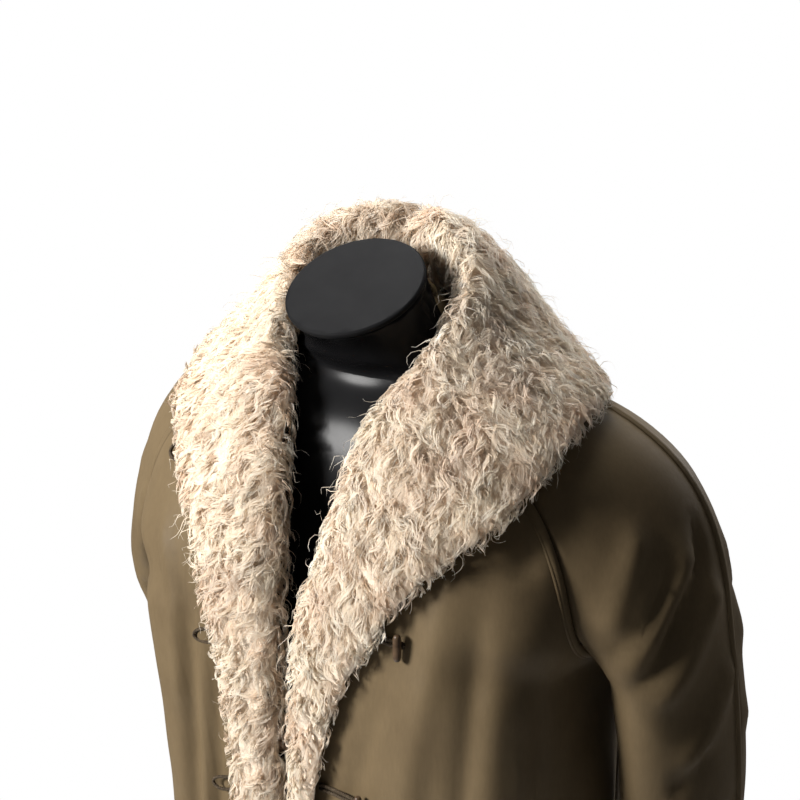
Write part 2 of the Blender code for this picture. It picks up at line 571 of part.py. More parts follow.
class Side:
    """One half of the body: sleeve, front with its turned-back edge and half of the back's rows."""

    def __init__(self, side):
        self.side = side
        self.bow = BOW_LEFT if side > 0 else BOW_RIGHT
        self.sleeve_front, self.sleeve_back = sleeve(side)
        body = BODY_L if side > 0 else BODY_R
        below = np.linspace(body[0][0], HEM_Z, BODY_ROWS + 1)
        self.body = ease(body, below)
        self.below = below
        n = RAGLAN_ROWS
        seam_front = mirrored(self.sleeve_front.grid[: n + 1, 0], side)
        seam_back = mirrored(self.sleeve_back.grid[: n + 1, 0], side)
        side_seam = np.column_stack([self.body[1:, 0], self.body[1:, 1], below[1:]])
        self.ends_front = np.vstack([seam_front, side_seam])
        self.ends_back = np.vstack([seam_back, side_seam])
        self.make_fold()
        self.make_front()
        self.make_back()

    def make_fold(self):
        top = (EDGE_L if self.side > 0 else EDGE_R)[0][0]
        upper = np.linspace(top, self.below[0] + LEG_DROP, RAGLAN_ROWS + 1)
        heights = np.concatenate([upper, self.below[1:] + LEG_DROP * np.linspace(1, 0, BODY_ROWS + 1)[1:]])
        neck = neck_stations(self.side)
        edge = edge_stations(self.side, heights)
        crest, rim, pile, way = (np.concatenate([a, b[1:]]) for a, b in zip(neck, edge))
        out_way = out_ways(crest - way * pile[:, None], rim)
        out_way[0] = unit(out_way[0] * np.array([0.0, 1.0, 1.0]))
        self.roll, self.rim = cloth_fold(crest, rim, pile, way, out_way)
        self.pile = pile
        self.way = way
        self.out_way = out_way

    def leg(self, k):
        """Where the inner leg of row k's fold starts, on the front panel."""
        roll = self.roll[COLLAR_COLS + k]
        grow = smooth(k / 3.0)
        way = unit(LEG_TOP * (1 - grow) + LEG_LOW * grow)
        return roll + way * (LEG_NEAR + LEG_FAR * grow) + self.row_turn(k) * FOLD_GAP

    def row_turn(self, k):
        return -self.out_way[COLLAR_COLS + k]

    def handles(self, k, end, cols):
        """Handles of row k's curve on the front (cols 1) or the back (cols 2)."""
        n = RAGLAN_ROWS
        if k >= n:
            b = self.body[k - n]
            return b[2:6] if cols == 1 else b[6:10]
        r = ease(RAGLAN, k / n)[0]
        last = ease(RAGLAN, 1.0)[0]
        b = self.body[0]
        grow = smooth(k / n)
        if cols == 1:
            start = self.leg(k)
            ends = self.ends_front[n]
            first = start[:2] + r[0:2] + grow * (b[2:4] - (self.leg(n)[:2] + last[0:2]))
            second = end[:2] + r[2:4] + grow * (b[4:6] - (ends[:2] + last[2:4]))
            return np.concatenate([first, second])
        first = end[:2] + r[4:6] + grow * (b[6:8] - (self.ends_back[n][:2] + last[4:6]))
        return np.concatenate([first, [r[6], r[7]]])

    def make_front(self):
        t = np.linspace(0, 1, FRONT_COLS + 1)
        flat = []
        for k, end in enumerate(self.ends_front):
            start = self.leg(k)
            f1x, f1y, f2x, f2y = self.handles(k, end, 1)
            z1 = start[2] + (end[2] - start[2]) / 3
            z2 = start[2] + (end[2] - start[2]) * 2 / 3
            flat.append(bezier(end, np.array([f2x, f2y, z2]), np.array([f1x, f1y, z1]), start, t))
            flat[-1][:, 0] -= tuck(k, FRONT_COLS + 1)
        flat = np.array(flat)
        rows = []
        folds = []
        for k, row in enumerate(flat):
            j = COLLAR_COLS + k
            laid = smooth((k - LAID_FROM) / 2.0)
            bow = BOW_LOW + (self.bow - BOW_LOW) * smooth(1.0 - k / BOW_ROWS)
            if laid > 0:
                on = on_rows(flat, self.rim[j, 0], self.rim[j, 2]) - 2.0 * FOLD_GAP
                self.rim[j, 1] = self.rim[j, 1] * (1 - laid) + on * laid
            turn = profile(row[-1], self.roll[j], self.way[j], self.rim[j], self.out_way[j] * bow, FOLD_GAP)
            rows.append(np.vstack([row, turn[1:]]))
            folds.append(turn)
        self.front = Cloth(mirrored(np.array(rows), self.side), 1.0)
        if self.front.through[-1, FRONT_COLS - 3, 1] > 0:
            self.front.out = -1.0
            self.front.through = -self.front.through
        g = mirrored(self.front.grid, self.side)
        lift = panel_height(g[..., 0], g[..., 2], FOLDS_FRONT_L if self.side > 0 else FOLDS_FRONT_R)
        lift[:, FRONT_COLS - 1:] = 0.0
        fade = np.ones(lift.shape[1])
        fade[:3] = (0.0, 0.4, 0.8)
        self.front.fold(lift * fade)
        self.front_folds = np.array(folds)

    def make_back(self):
        rows = []
        t = np.linspace(0, 1, BACK_COLS + 1)
        n = RAGLAN_ROWS
        for k, end in enumerate(self.ends_back):
            if k < n:
                r = ease(RAGLAN, k / n)[0]
                cby, cbz = r[7], r[8]
                b1x, b1y, b2x, _ = self.handles(k, end, 2)
            else:
                b1x, b1y, b2x, cby = self.body[k - n][6:10]
                cbz = self.below[k - n]
            z1 = end[2] + (cbz - end[2]) / 3
            z2 = end[2] + (cbz - end[2]) * 0.8
            rows.append(bezier(end, np.array([b1x, b1y, z1]), np.array([b2x, cby, z2]),
                               np.array([0.0, cby, cbz]), t))
            rows[-1][:, 0] -= tuck(k, BACK_COLS + 1)
        self.back_rows = mirrored(np.array(rows), self.side)

    def neckline(self):
        """Middle points of the neck edge from the centre back to the gorge."""
        back = mirrored(self.back_rows[0, ::-1], self.side)
        over = mirrored(self.sleeve_back.grid[0], self.side)
        fore = mirrored(self.sleeve_front.grid[0, ::-1], self.side)
        front = mirrored(self.front.grid[0, : FRONT_COLS + 1], self.side)
        line = np.vstack([back, over[1:], fore[1:], front[1:]])
        far = np.concatenate([[0], np.cumsum(np.linalg.norm(np.diff(line, axis=0), axis=1))])
        at = np.linspace(0, far[-1], COLLAR_COLS + 1)
        return np.column_stack([np.interp(at, far, line[:, i]) for i in range(3)])

    def collar_rows(self):
        """Folded profiles of the collar from the centre back to the gorge."""
        inner = self.neckline()
        rows = []
        for j in range(COLLAR_COLS + 1):
            bow = BOW_BACK + (self.bow - BOW_BACK) * smooth(j / 4.0)
            rows.append(profile(inner[j], self.roll[j], self.way[j], self.rim[j], self.out_way[j] * bow,
                                ROLL_HALF + (FOLD_GAP - ROLL_HALF) * smooth(j / COLLAR_COLS)))
        rows[-1] = self.front_folds[0]
        return np.array(rows)


# ---------------------------------------------------------------- pelts
def pelt(side_rows, pile, out_way, side):
    """The fur facing as one thick band on the convex side of the folds, drawn in at both its ends."""
    grid = mirrored(side_rows, side)
    n = normals(grid, 1.0)
    if (n[:, -3] * mirrored(out_way, side)).sum() < 0:
        n = -n
    first = unit(np.cross(np.array([side, 0.0, 0.0]), tangents(grid[:1], 1)[0]))
    n[0] = first * np.sign((first * n[1]).sum(axis=1, keepdims=True))
    cols = grid.shape[1]
    share = np.ones(cols)
    share[:4] = (0.0, 0.40, 0.66, 0.90)
    share[-3:] = (1.0, 0.94, 0.80)
    outer = grid + n * (pile[:, None] * share)[..., None]
    base = grid + n * BASE_GAP
    way = unit(grid[:, -1] - grid[:, -2])
    step = way * (pile * TIP_REACH)[:, None]
    mid_out = grid[:, -1] + step + n[:, -1] * (pile * TIP_RISE)[:, None]
    mid_base = grid[:, -1] + step * 0.9 - n[:, -1] * TIP_SINK
    outer = np.concatenate([outer, mid_out[:, None]], axis=1)
    base = np.concatenate([base, mid_base[:, None]], axis=1)
    outer = outer[:, 1:]
    base = base[:, 1:]
    outer[0, :, 0] = side * SEAM_PART
    base[0, :, 0] = side * SEAM_PART
    return outer, base


# ---------------------------------------------------------------- fastenings
def over_front(side, x, z, lift):
    """Depth of a point at x and z that stands off the front panel and its sleeve by lift."""
    place, normal, _, _ = side.panel.ray_cast((side.side * x, -1.0, z), (0.0, 1.0, 0.0))
    return place[1] - lift / abs(normal[1])


def tube(name, points, radius, mat):
    cu = bpy.data.curves.new(name, "CURVE")
    cu.dimensions = "3D"
    cu.bevel_depth = radius
    cu.bevel_resolution = CORD_ROUND
    cu.use_fill_caps = True
    sp = cu.splines.new("POLY")
    sp.points.add(len(points) - 1)
    for p, co in zip(sp.points, points):
        p.co = (*map(float, co), 1.0)
    cu.materials.append(mat)
    ob = bpy.data.objects.new(name, cu)
    part.objects.link(ob)
    return ob


def edge_at(side, z):
    """How far out the cloth of a turned-back front ends at height z."""
    rim = side.rim[COLLAR_COLS:]
    return float(np.interp(-z, -rim[:, 2], rim[:, 0]))


def cord_path(side, z, shape, drop, stretch=1.0):
    """A cord that comes from under the turned-back edge and lies just off the front panel."""
    root_x = edge_at(side, z)
    points = []
    for out, b in shape:
        a = out * stretch
        x = root_x + a * math.cos(drop) + b * math.sin(drop)
        up = z - a * math.sin(drop) + b * math.cos(drop)
        points.append((x, over_front(side, x, up, CORD_UNDER), up))
    return mirrored(np.array(points), side.side)


def bridge(rings, sides):
    """Faces of a closed solid through rings that each have the given number of points."""
    last = (rings - 1) * sides
    faces = [tuple(range(sides)), tuple(range(last, last + sides))[::-1]]
    for i in range(rings - 1):
        for j in range(sides):
            a = i * sides
            k = (j + 1) % sides
            faces.append((a + j, a + k, a + sides + k, a + sides + j))
    return faces


def toggle(name, side, z, stretch):
    """A turned toggle that stands upright over its cord."""
    x = edge_at(side, z) + TOGGLE_AT * stretch
    y = over_front(side, x, z, CORD_UNDER + CORD_R + CORD_GAP + TOGGLE_R)
    verts = []
    for h, r in TOGGLE_TURN:
        for q in range(TOGGLE_SIDES):
            a = 2 * math.pi * q / TOGGLE_SIDES
            verts.append((side.side * x + TOGGLE_R * r * math.cos(a), y + TOGGLE_R * r * math.sin(a),
                          z + TOGGLE_L / 2 * h))
    return put(name, verts, bridge(len(TOGGLE_TURN), TOGGLE_SIDES), horn_mat)


def ring_of(z, a, b, y, power=2.4):
    t = np.arange(RING_SIDES) / RING_SIDES * 2 * math.pi
    c = np.cos(t)
    s = np.sin(t)
    return np.column_stack([a * np.sign(c) * np.abs(c) ** (2 / power),
                            y + b * np.sign(s) * np.abs(s) ** (2 / power), np.full(RING_SIDES, z)])


def loft(name, rings, mat):
    return put(name, np.vstack(rings), bridge(len(rings), RING_SIDES), mat)


def dress_form():
    """Torso and neck in one, with the neck's slanted top cut square to its tilt."""
    rings = []
    for z, a, b, y in TORSO:
        rings.append(ring_of(z, a, b, y, 2.0 + CHEST_SQUARE * smooth((SHOULDER_Z - z) / SHOULDER_FADE)))
    tilt = math.radians(NECK_TILT_DEG)
    centre = np.array(CAP_CENTRE)
    up = np.array([0.0, -math.sin(tilt), math.cos(tilt)])
    right = np.array([1.0, 0.0, 0.0])
    ahead = np.cross(up, right)
    t = np.arange(RING_SIDES) / RING_SIDES * 2 * math.pi
    round_it = right * np.cos(t)[:, None] + ahead * np.sin(t)[:, None]
    last = rings[-1]
    top = centre - up * (CAP_T + CAP_GAP) + round_it * FORM_NECK_R
    for k in NECK_RINGS:
        mix = last * (1 - k) + top * k
        middle = mix.mean(axis=0)
        rings.append(middle + (mix - middle) * (1.0 - NECK_WAIST * math.sin(math.pi * k)))
    loft("dress_form", rings, form_mat)
    small = CAP_R - CAP_EDGE
    cap = []
    for r, h in ((small, 0.0), (CAP_R, CAP_EDGE), (CAP_R, CAP_T - CAP_EDGE), (small, CAP_T)):
        cap.append(centre + up * (h - CAP_T) + round_it * r)
    loft("form_neck_cap", cap, cap_mat)


def stand():
    long = TORSO[0][0] - FOOT_H - 2 * CAP_GAP
    bpy.ops.mesh.primitive_cylinder_add(vertices=POLE_SIDES, radius=POLE_R, depth=long)
    pole = bpy.context.object
    pole.name = "form_pole"
    pole.location = (0.0, 0.0, (TORSO[0][0] + FOOT_H) / 2)
    bpy.ops.mesh.primitive_cylinder_add(vertices=FOOT_SIDES, radius=FOOT_R, depth=FOOT_H)
    foot = bpy.context.object
    foot.name = "form_foot"
    foot.location = (0.0, 0.0, FOOT_H / 2)
    edge = foot.modifiers.new("rounded", "BEVEL")
    edge.width = FOOT_ROUND
    edge.segments = 2
    edge.limit_method = "ANGLE"
    for ob in (pole, foot):
        for c in list(ob.users_collection):
            c.objects.unlink(ob)
        part.objects.link(ob)
        ob.data.materials.append(steel_mat)


# ---------------------------------------------------------------- build
for old in list(bpy.data.objects):
    bpy.data.objects.remove(old, do_unlink=True)
part = bpy.data.collections.new("coat_on_dress_form")
bpy.context.scene.collection.children.link(part)
coat_mat = material("coat_cloth", COAT, 0.60)
pelt_mat = material("fur_pelt", PELT, 0.90)
cord_mat = material("loop_cord", CORD, 0.70)
horn_mat = material("toggle_horn", HORN, 0.35)
form_mat = material("form_gloss", FORM, 0.12)
cap_mat = material("form_cap", CAP, 0.45)
steel_mat = material("form_metal", STEEL, 0.30, 1.0)

left = Side(1.0)
right = Side(-1.0)
back = Cloth(np.concatenate([left.back_rows, right.back_rows[:, ::-1][:, 1:]], axis=1), 1.0)
if back.through[RAGLAN_ROWS, BACK_COLS, 1] < 0:
    back.out = -1.0
    back.through = -back.through
g = back.grid
fade_back = np.sin(np.linspace(0, math.pi, g.shape[1])) ** 0.35
fade_back[0] = fade_back[-1] = 0.0
back.fold(panel_height(g[..., 0], g[..., 2], FOLDS_BACK) * fade_back)

left_rows = left.collar_rows()
right_rows = right.collar_rows()
collar = Cloth(np.concatenate([mirrored(right_rows[::-1], -1.0), left_rows[1:]], axis=0), 1.0)
mid = COLLAR_COLS
if (collar.through[mid, IN_COLS] * np.array([0, 0, 1.0])).sum() < 0:
    collar.out = -1.0
    collar.through = -collar.through

n = RAGLAN_ROWS
upper = slice(0, n + 1)
lower = slice(n, None)
for s in (left, right):
    edge = 0 if s is left else -1
    inner = 1 if s is left else -2
    join(s.front, (upper, 0), (upper, 1), s.sleeve_front, (upper, 0), (upper, 1))
    join(back, (upper, edge), (upper, inner), s.sleeve_back, (upper, 0), (upper, 1))
    join(s.front, (lower, 0), (lower, 1), back, (lower, edge), (lower, inner))
    join(s.sleeve_front, (lower, 0), (lower, 1), s.sleeve_back, (lower, 0), (lower, 1))
    join(s.sleeve_front, LAST_COL, LAST_BUT_COL, s.sleeve_back, LAST_COL, LAST_BUT_COL)
    fold_cols = slice(FRONT_COLS, None)
    last = -1 if s is left else 0
    before = -2 if s is left else 1
    join(s.front, (0, fold_cols), (1, fold_cols), collar, (last, slice(None)), (before, slice(None)))
for s in (left, right):
    edge = 0 if s is left else -1
    inner = 1 if s is left else -2
    away = np.array([s.side * ARMPIT_PART, 0.0, 0.0])
    for k in range(n - 2, n + 2):
        for j in range(3):
            s.sleeve_front.grid[k, j] += away
            s.sleeve_back.grid[k, j] += away
            s.front.grid[k, j] -= away
            back.grid[k, j if s is left else -1 - j] -= away
    low = unit(s.front.grid[1, :FRONT_COLS] - s.front.grid[0, :FRONT_COLS])
    s.front.grid[0, :FRONT_COLS] += low * NECK_PART
    s.panel = tree_of((s.front.grid[:, : FRONT_COLS + IN_COLS], s.sleeve_front.grid))
from_gorge = np.abs(np.abs(np.arange(len(collar.grid)) - COLLAR_COLS) - COLLAR_COLS)
lift = STAND_LIFT + GORGE_LIFT * smooth(1.0 - from_gorge / GORGE_STATIONS)
collar.grid[:, 0] += unit(collar.grid[:, 1] - collar.grid[:, 0]) * lift[:, None]

for s, name in ((left, "left"), (right, "right")):
    s.front.solid("coat_front_" + name, coat_mat, s is left)
    s.sleeve_front.solid("sleeve_front_" + name, coat_mat)
    s.sleeve_back.solid("sleeve_back_" + name, coat_mat)
back.solid("coat_back", coat_mat)
collar.solid("undercollar", coat_mat)

for s, rows, name in ((left, left_rows, "left"), (right, right_rows, "right")):
    every = np.concatenate([rows, s.front_folds[1:]], axis=0)
    outer, base = pelt(every, s.pile, s.out_way, s.side)
    wall("fur_collar_" + name, outer, base, pelt_mat, s is left)

for i, z in enumerate(LOOP_Z):
    tube(f"loop_right_{i + 1}", cord_path(right, z, LOOP_SHAPE, LOOP_DROP), CORD_R, cord_mat)
for i, (z, stretch) in enumerate(TOGGLES):
    tube(f"toggle_cord_left_{i + 1}", cord_path(left, z, HOLD_SHAPE, 0.0, stretch), CORD_R, cord_mat)
    toggle(f"toggle_left_{i + 1}", left, z, stretch)
dress_form()
stand()
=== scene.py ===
"""Three-quarter coat with a shaggy shawl collar, worn open on a dress form: folds, seams, pile and finish.

Metres, in the frame of the solids: +Z up, the coat faces -Y and its own left side is +X.
"""
import math

import bmesh
import bpy
import numpy as np
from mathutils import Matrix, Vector
from mathutils.bvhtree import BVHTree
from mathutils.kdtree import KDTree


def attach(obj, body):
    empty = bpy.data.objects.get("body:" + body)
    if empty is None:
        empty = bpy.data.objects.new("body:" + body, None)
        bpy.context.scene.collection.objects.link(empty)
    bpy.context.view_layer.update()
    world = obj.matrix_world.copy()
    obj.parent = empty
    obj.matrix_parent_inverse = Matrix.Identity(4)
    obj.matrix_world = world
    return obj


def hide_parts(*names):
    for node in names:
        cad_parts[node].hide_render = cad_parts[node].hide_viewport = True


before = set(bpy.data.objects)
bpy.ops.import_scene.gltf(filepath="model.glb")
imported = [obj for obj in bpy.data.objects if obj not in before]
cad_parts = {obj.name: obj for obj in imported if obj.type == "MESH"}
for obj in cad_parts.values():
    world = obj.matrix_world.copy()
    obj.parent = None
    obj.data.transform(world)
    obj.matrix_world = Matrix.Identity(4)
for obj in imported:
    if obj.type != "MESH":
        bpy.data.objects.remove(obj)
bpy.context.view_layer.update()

# -------- camera, light and floor
CAMERA_AT = (0.7189, -1.0662, 1.8378)
CAMERA_AIM = (0.0092, 0.0061, 1.395)
LENS = 68.085  # mm
SENSOR = 36.0  # mm
IMAGE = 800.0  # width of the photo in pixels
CLIP_END = 100.0
WHITE = (1.0, 1.0, 1.0)
# Lights: name, place, aim, diameter, power and colour
LIGHTS = (("key", (-1.32, -2.04, 2.25), (0.0, 0.0, 1.25), 0.8, 142.0, (1.0, 0.985, 0.965)),
          ("top", (-0.60, 0.60, 3.00), (0.0, 0.0, 1.40), 1.4, 50.0, WHITE),
          ("behind", (0.60, 2.60, 2.00), (0.0, 0.0, 1.10), 1.6, 24.0, WHITE))
WORLD_LIGHT = 0.10
FLOOR_R = 1.40  # the photo's frame looks over its far edge
FLOOR_SIDES = 96
SURROUND_R = 30.0

# -------- cloth
WELD = 2e-5  # joins the split corners of the solids' faces
CLOTH = 0.0018  # thickness of its wall
EDGE_MOST = 0.0032  # no face that joins a wall's two sides is wider
EDGE_SQUARE = 0.7  # how square to the wall such a face's short side is
WALL_OFF = 0.00001  # where that side is as long as the wall is thick, to within this,
WALL_SQUARE = 0.10  # it may be less square
HOLE_SIDES = 6  # holes in a sheet with no more sides are filled again
SHEET_LEVELS = 2  # subdivisions of a sheet
# Which way a piece's outer side faces. The undercollar's is its larger side.
OUTWARD = {
    "coat_back": (0.0, 1.0, 0.0),
    "coat_front_left": (0.0, -1.0, 0.0),
    "coat_front_right": (0.0, -1.0, 0.0),
    "sleeve_front_left": (0.5, -1.0, 0.0),
    "sleeve_front_right": (-0.5, -1.0, 0.0),
    "sleeve_back_left": (0.3, 1.0, 0.0),
    "sleeve_back_right": (-0.3, 1.0, 0.0)}
# Cut of each piece of cloth and pelt: flat width, flat length, area, how it is held
CUTS = {
    "coat_back": (0.56, 0.83, 0.43, "hung"),
    "coat_front_left": (0.46, 0.83, 0.305, "hung"),
    "coat_front_right": (0.44, 0.83, 0.29, "hung"),
    "sleeve_front_left": (0.26, 0.7, 0.142, "hung"),
    "sleeve_back_left": (0.2, 0.7, 0.111, "hung"),
    "sleeve_front_right": (0.26, 0.7, 0.14, "hung"),
    "sleeve_back_right": (0.2, 0.7, 0.109, "hung"),
    "undercollar": (0.64, 0.26, 0.136, "folded"),
    "fur_collar_left": (0.25, 1.18, 0.145, "folded"),
    "fur_collar_right": (0.26, 1.18, 0.162, "folded")}
CLOTHS = [node for node in CUTS if not node.startswith("fur")]

# -------- folds
HEM_Z = 0.620
HEM_LOOSE = 0.02  # less than this over the hem, a sheet's border may fold
FOLD_END = 0.04  # a fold that runs to the hem ends this far over it
HANGS_BELOW = 770  # one that leaves the photo below this pixel runs to the hem
FOLD_GAIN = 1.6  # the tables' heights are times this
FOLD_FADE = 0.22  # share of its length over which a fold fades at each end
FOLD_TIP = 0.12  # how far into that fade its very end is
WAVER = 0.25  # share by which a fold's height wavers
WAVER_TURNS = 9.0
WAVER_SHIFT = 2000.0  # makes folds of other heights waver elsewhere
FULL_FADE = 0.25  # the same for a fullness, at its upper end
FULL_TIP = 0.1
RIPPLE = 0.0006  # height of a slow ripple all over the cloth, and its waves
RIPPLE_XZ = (43.0, 61.0)
RIPPLE_YZ = (57.0, 23.0)
SEAM_CALM = 0.022  # folds fade out this near a seam

# Folds of the cloth: piece, half width, height and the line in the photo's pixels
FOLDS = (
    ("coat_front_left", 0.014, 0.0044, ((450, 566), (441, 620), (428, 690), (408, 785))),
    ("coat_front_left", 0.013, -0.0036, ((490, 556), (479, 640), (473, 700), (463, 795))),
    ("coat_front_left", 0.05, 0.006, ((594, 628), (600, 700), (601, 790))),
    ("coat_front_left", 0.007, 0.0016, ((520, 690), (520, 740), (520, 790))),
    ("coat_front_left", 0.008, -0.002, ((538, 660), (541, 720), (540, 790))),
    ("coat_front_left", 0.009, -0.0026, ((392, 668), (372, 730), (352, 795))),
    ("coat_front_left", 0.016, -0.0022, ((505, 520), (520, 545), (535, 580))),
    ("sleeve_front_left", 0.007, -0.0044, ((704, 545), (672, 640), (628, 694), (585, 730))),
    ("sleeve_front_left", 0.014, 0.0038, ((718, 575), (692, 655), (650, 714), (602, 754))),
    ("sleeve_front_left", 0.012, 0.0034, ((690, 540), (656, 630), (612, 682))),
    ("sleeve_front_left", 0.006, -0.0034, ((678, 556), (652, 621), (600, 660))),
    ("sleeve_front_left", 0.006, -0.0038, ((694, 515), (702, 565), (700, 610))),
    ("sleeve_front_left", 0.012, 0.0028, ((640, 520), (622, 590), (606, 640))),
    ("sleeve_front_left", 0.012, 0.0034, ((734, 650), (718, 712), (676, 775))),
    ("sleeve_front_left", 0.008, -0.003, ((738, 690), (712, 745), (668, 795))),
    ("coat_front_right", 0.01, 0.004, ((203, 600), (205, 700), (208, 795))),
    ("coat_front_right", 0.008, -0.0045, ((214, 640), (216, 700), (217, 780))),
    ("coat_front_right", 0.01, -0.004, ((186, 560), (190, 640), (194, 780))),
    ("coat_front_right", 0.01, 0.0032, ((166, 500), (176, 600), (184, 720))),
    ("sleeve_front_right", 0.009, -0.006, ((136, 575), (146, 586), (156, 600))),
    ("sleeve_front_right", 0.01, 0.004, ((150, 480), (146, 540), (147, 570))))
# A broad fullness that stands forward beside the armhole: piece, half width, shift in space and its line in
# pixels, from where it goes on to the hem
FULLNESS = (("coat_front_left", 0.050, (0.006, -0.032, 0.0), ((586, 636), (592, 700), (592, 790))),)
# Folds out of the photo's sight: piece, half width, height and points in space near the cloth
FAR_FOLDS = (
    ("coat_back", 0.018, -0.005, ((-0.06, 0.15, 1.3), (-0.07, 0.16, 1.1), (-0.074, 0.17, 0.7))),
    ("coat_back", 0.018, 0.005, ((0.012, 0.15, 1.25), (0.01, 0.16, 1.0), (0.016, 0.17, 0.68))),
    ("coat_back", 0.016, -0.0045, ((0.07, 0.15, 1.29), (0.078, 0.16, 1.05), (0.084, 0.17, 0.7))),
    ("coat_back", 0.015, 0.004, ((0.15, 0.13, 1.29), (0.12, 0.15, 1.18), (0.128, 0.16, 0.72))),
    ("coat_back", 0.015, 0.0042, ((-0.15, 0.13, 1.29), (-0.122, 0.15, 1.18), (-0.13, 0.16, 0.72))),
    ("coat_back", 0.013, -0.004, ((0.18, 0.11, 1.3), (0.19, 0.12, 1.18), (0.186, 0.13, 0.9))),
    ("coat_back", 0.013, -0.004, ((-0.18, 0.11, 1.3), (-0.186, 0.12, 1.15), (-0.19, 0.13, 0.9))),
    ("coat_front_left", 0.014, -0.004, ((0.205, -0.11, 1.13), (0.212, -0.115, 0.9), (0.218, -0.12, 0.66))),
    ("coat_front_right", 0.014, 0.004, ((-0.135, -0.15, 0.98), (-0.13, -0.15, 0.8), (-0.14, -0.15, 0.66))))
# The left sleeve's folds set on the other halves: piece, mirroring, shift and share of their height
MIRRORED = "sleeve_front_left"
MIRROR_FOLDS = (
    ("sleeve_back_left", (1.0, -1.0, 1.0), (-0.008, 0.094, -0.02), 0.45),
    ("sleeve_front_right", (-1.0, 1.0, 1.0), (0.03, 0.012, -0.05), 0.85),
    ("sleeve_back_right", (-1.0, -1.0, 1.0), (0.038, 0.11, -0.075), 0.5))

# -------- seams
# Seams with a stitched welt: the piece that carries it, its neighbour
WELTS = (("coat_front_left", "sleeve_front_left"), ("coat_front_right", "sleeve_front_right"),
         ("coat_back", "sleeve_back_left"), ("coat_back", "sleeve_back_right"),
         ("sleeve_front_left", "sleeve_back_left"), ("sleeve_front_right", "sleeve_back_right"))
SEAM_NEAR = 0.0040  # borders of two pieces this near each other are one seam
WELT_W = 0.0095  # raised band beside a seam
WELT_H = 0.0021
WELT_STEP = 0.004
# Across a welt: share of its width from the seam, share of its height
WELT_PROFILE = ((0.03, 0.05), (0.10, 0.80), (0.40, 1.0), (0.72, 0.85),
                (0.80, 0.50), (0.88, 0.75), (1.0, 0.02))
LAID = 0.0001  # what is sewn on is this far off the cloth
STITCH_IN = 0.0078  # a welt's row of stitches from the seam
STITCH_UP = 0.55  # and the share of the welt's height at which it lies
STITCH_STEP = 0.0036
STITCH_L = 0.0027
STITCH_R = 0.00030
STITCH_SIDES = 4
STITCH_RINGS = ((-0.5, 0.3), (-0.25, 1.0), (0.25, 1.0), (0.5, 0.3))  # along a stitch in lengths, radius
HEM_ROW = 0.026  # row of stitches over a hem or cuff
BORDER_RISE = 0.006  # a hem or cuff lies within this of its piece's lowest point
INNER_UP = 0.1  # and its middle is taken from what is this far over that point

# -------- pile
SEED = 7
NECK = np.array([0.0, -0.010, 0.0])  # the pile flows away from here
DOWN = np.array([0.0, 0.0, -1.0])
FLOW_OUT = 0.42  # outward share of its flow
FRONT_FROM = 0.02  # in front of this depth it starts to flow straight to the side,
FRONT_OVER = 0.08  # and over this depth it turns fully
FELT_LEVELS = 2
PILE_SINK = 0.62  # the pelt's backing lies this share of the pile under its outer face,
PRESSED_SINK = 0.9  # or up to this share where the pile is pressed flat
LUMP_H = 0.0018  # lumps of the backing
LUMP_DEPTH = 0.012  # depth of pile at which they are full
LUMP_WAVES = ((310.0, 170.0, 230.0), (-190.0, 260.0, 290.0), (140.0, -330.0, 200.0))
TRIM_AT = (-0.185, -0.075, 1.405)  # round this point the right half of the pile lies flatter
TRIM_R = 0.075
TRIM_SHARE = 0.42
SEAM_X = 0.004  # the pelt's halves meet at the nape within this of the middle
SEAM_UP = 1.35  # and above this height
PELT_LEAST = 0.0035  # where the pelt is thinner than this, it carries no locks
PILE_FULL = 0.024  # where the pile is this deep its locks have their full size
PILE_THIN = 0.35  # and this share of it where it is thinnest

# A pair of "least and spread" gives values from least to least + spread, all as likely.
LOCKS = 3850  # locks on each half of the collar
HAIRS = 6  # ribbons in a lock
LOCK_L = (0.024, 0.046)  # shortest and longest
LOCK_SHORTER = 1.2  # more of them are short than long
LOCK_BACK = 0.56  # its root lies this share of its length back from its place
LOCK_W = 0.00120  # breadth of a ribbon at its root
LOCK_SPREAD = 0.0046  # how far apart a lock's roots are
LOCK_CLOSE = 0.85  # share of that by which its tips draw together
LOCK_STRAY = 0.24  # radians by which locks stray from the pile's flow
LOCK_LEAN = (0.44, 0.30)  # rise over the root in depths of pile, least and spread
LOCK_CURL = (0.0022, 0.0026)  # radius of a curl, least and spread
LOCK_TURN = (0.019, 0.012)  # length of a turn of it, least and spread
SWEEPS = ((0.42, (71.0, 38.0, 90.0)), (0.30, (-150.0, 130.0, 210.0)))  # turn of the pile, and its waves
# How the hairs of a lock differ: length and curl, breadth (least and spread), phase and tone (deviation)
HAIR_SIZE = (0.85, 0.3)
HAIR_BREADTH = (0.60, 0.6)
HAIR_PHASE = 0.30
HAIR_TONE = 0.12

WISPS = 420  # long thin stray hairs on each half
WISP_L = (0.024, 0.040)  # shortest and longest
WISP_W = 0.0007
WISP_STRAY = 0.8  # radians by which they stray from the flow
WISP_OUT = 0.10  # and outward share of their direction
WISP_SINK = 0.45  # depth of their roots in depths of pile
WISP_BACK = 0.25
WISP_CURL = (0.003, 0.003)
WISP_TURN = 0.022  # length of a turn
WISP_LEAN = (0.75, 0.35)
WISP_TONE = (0.6, 0.4)

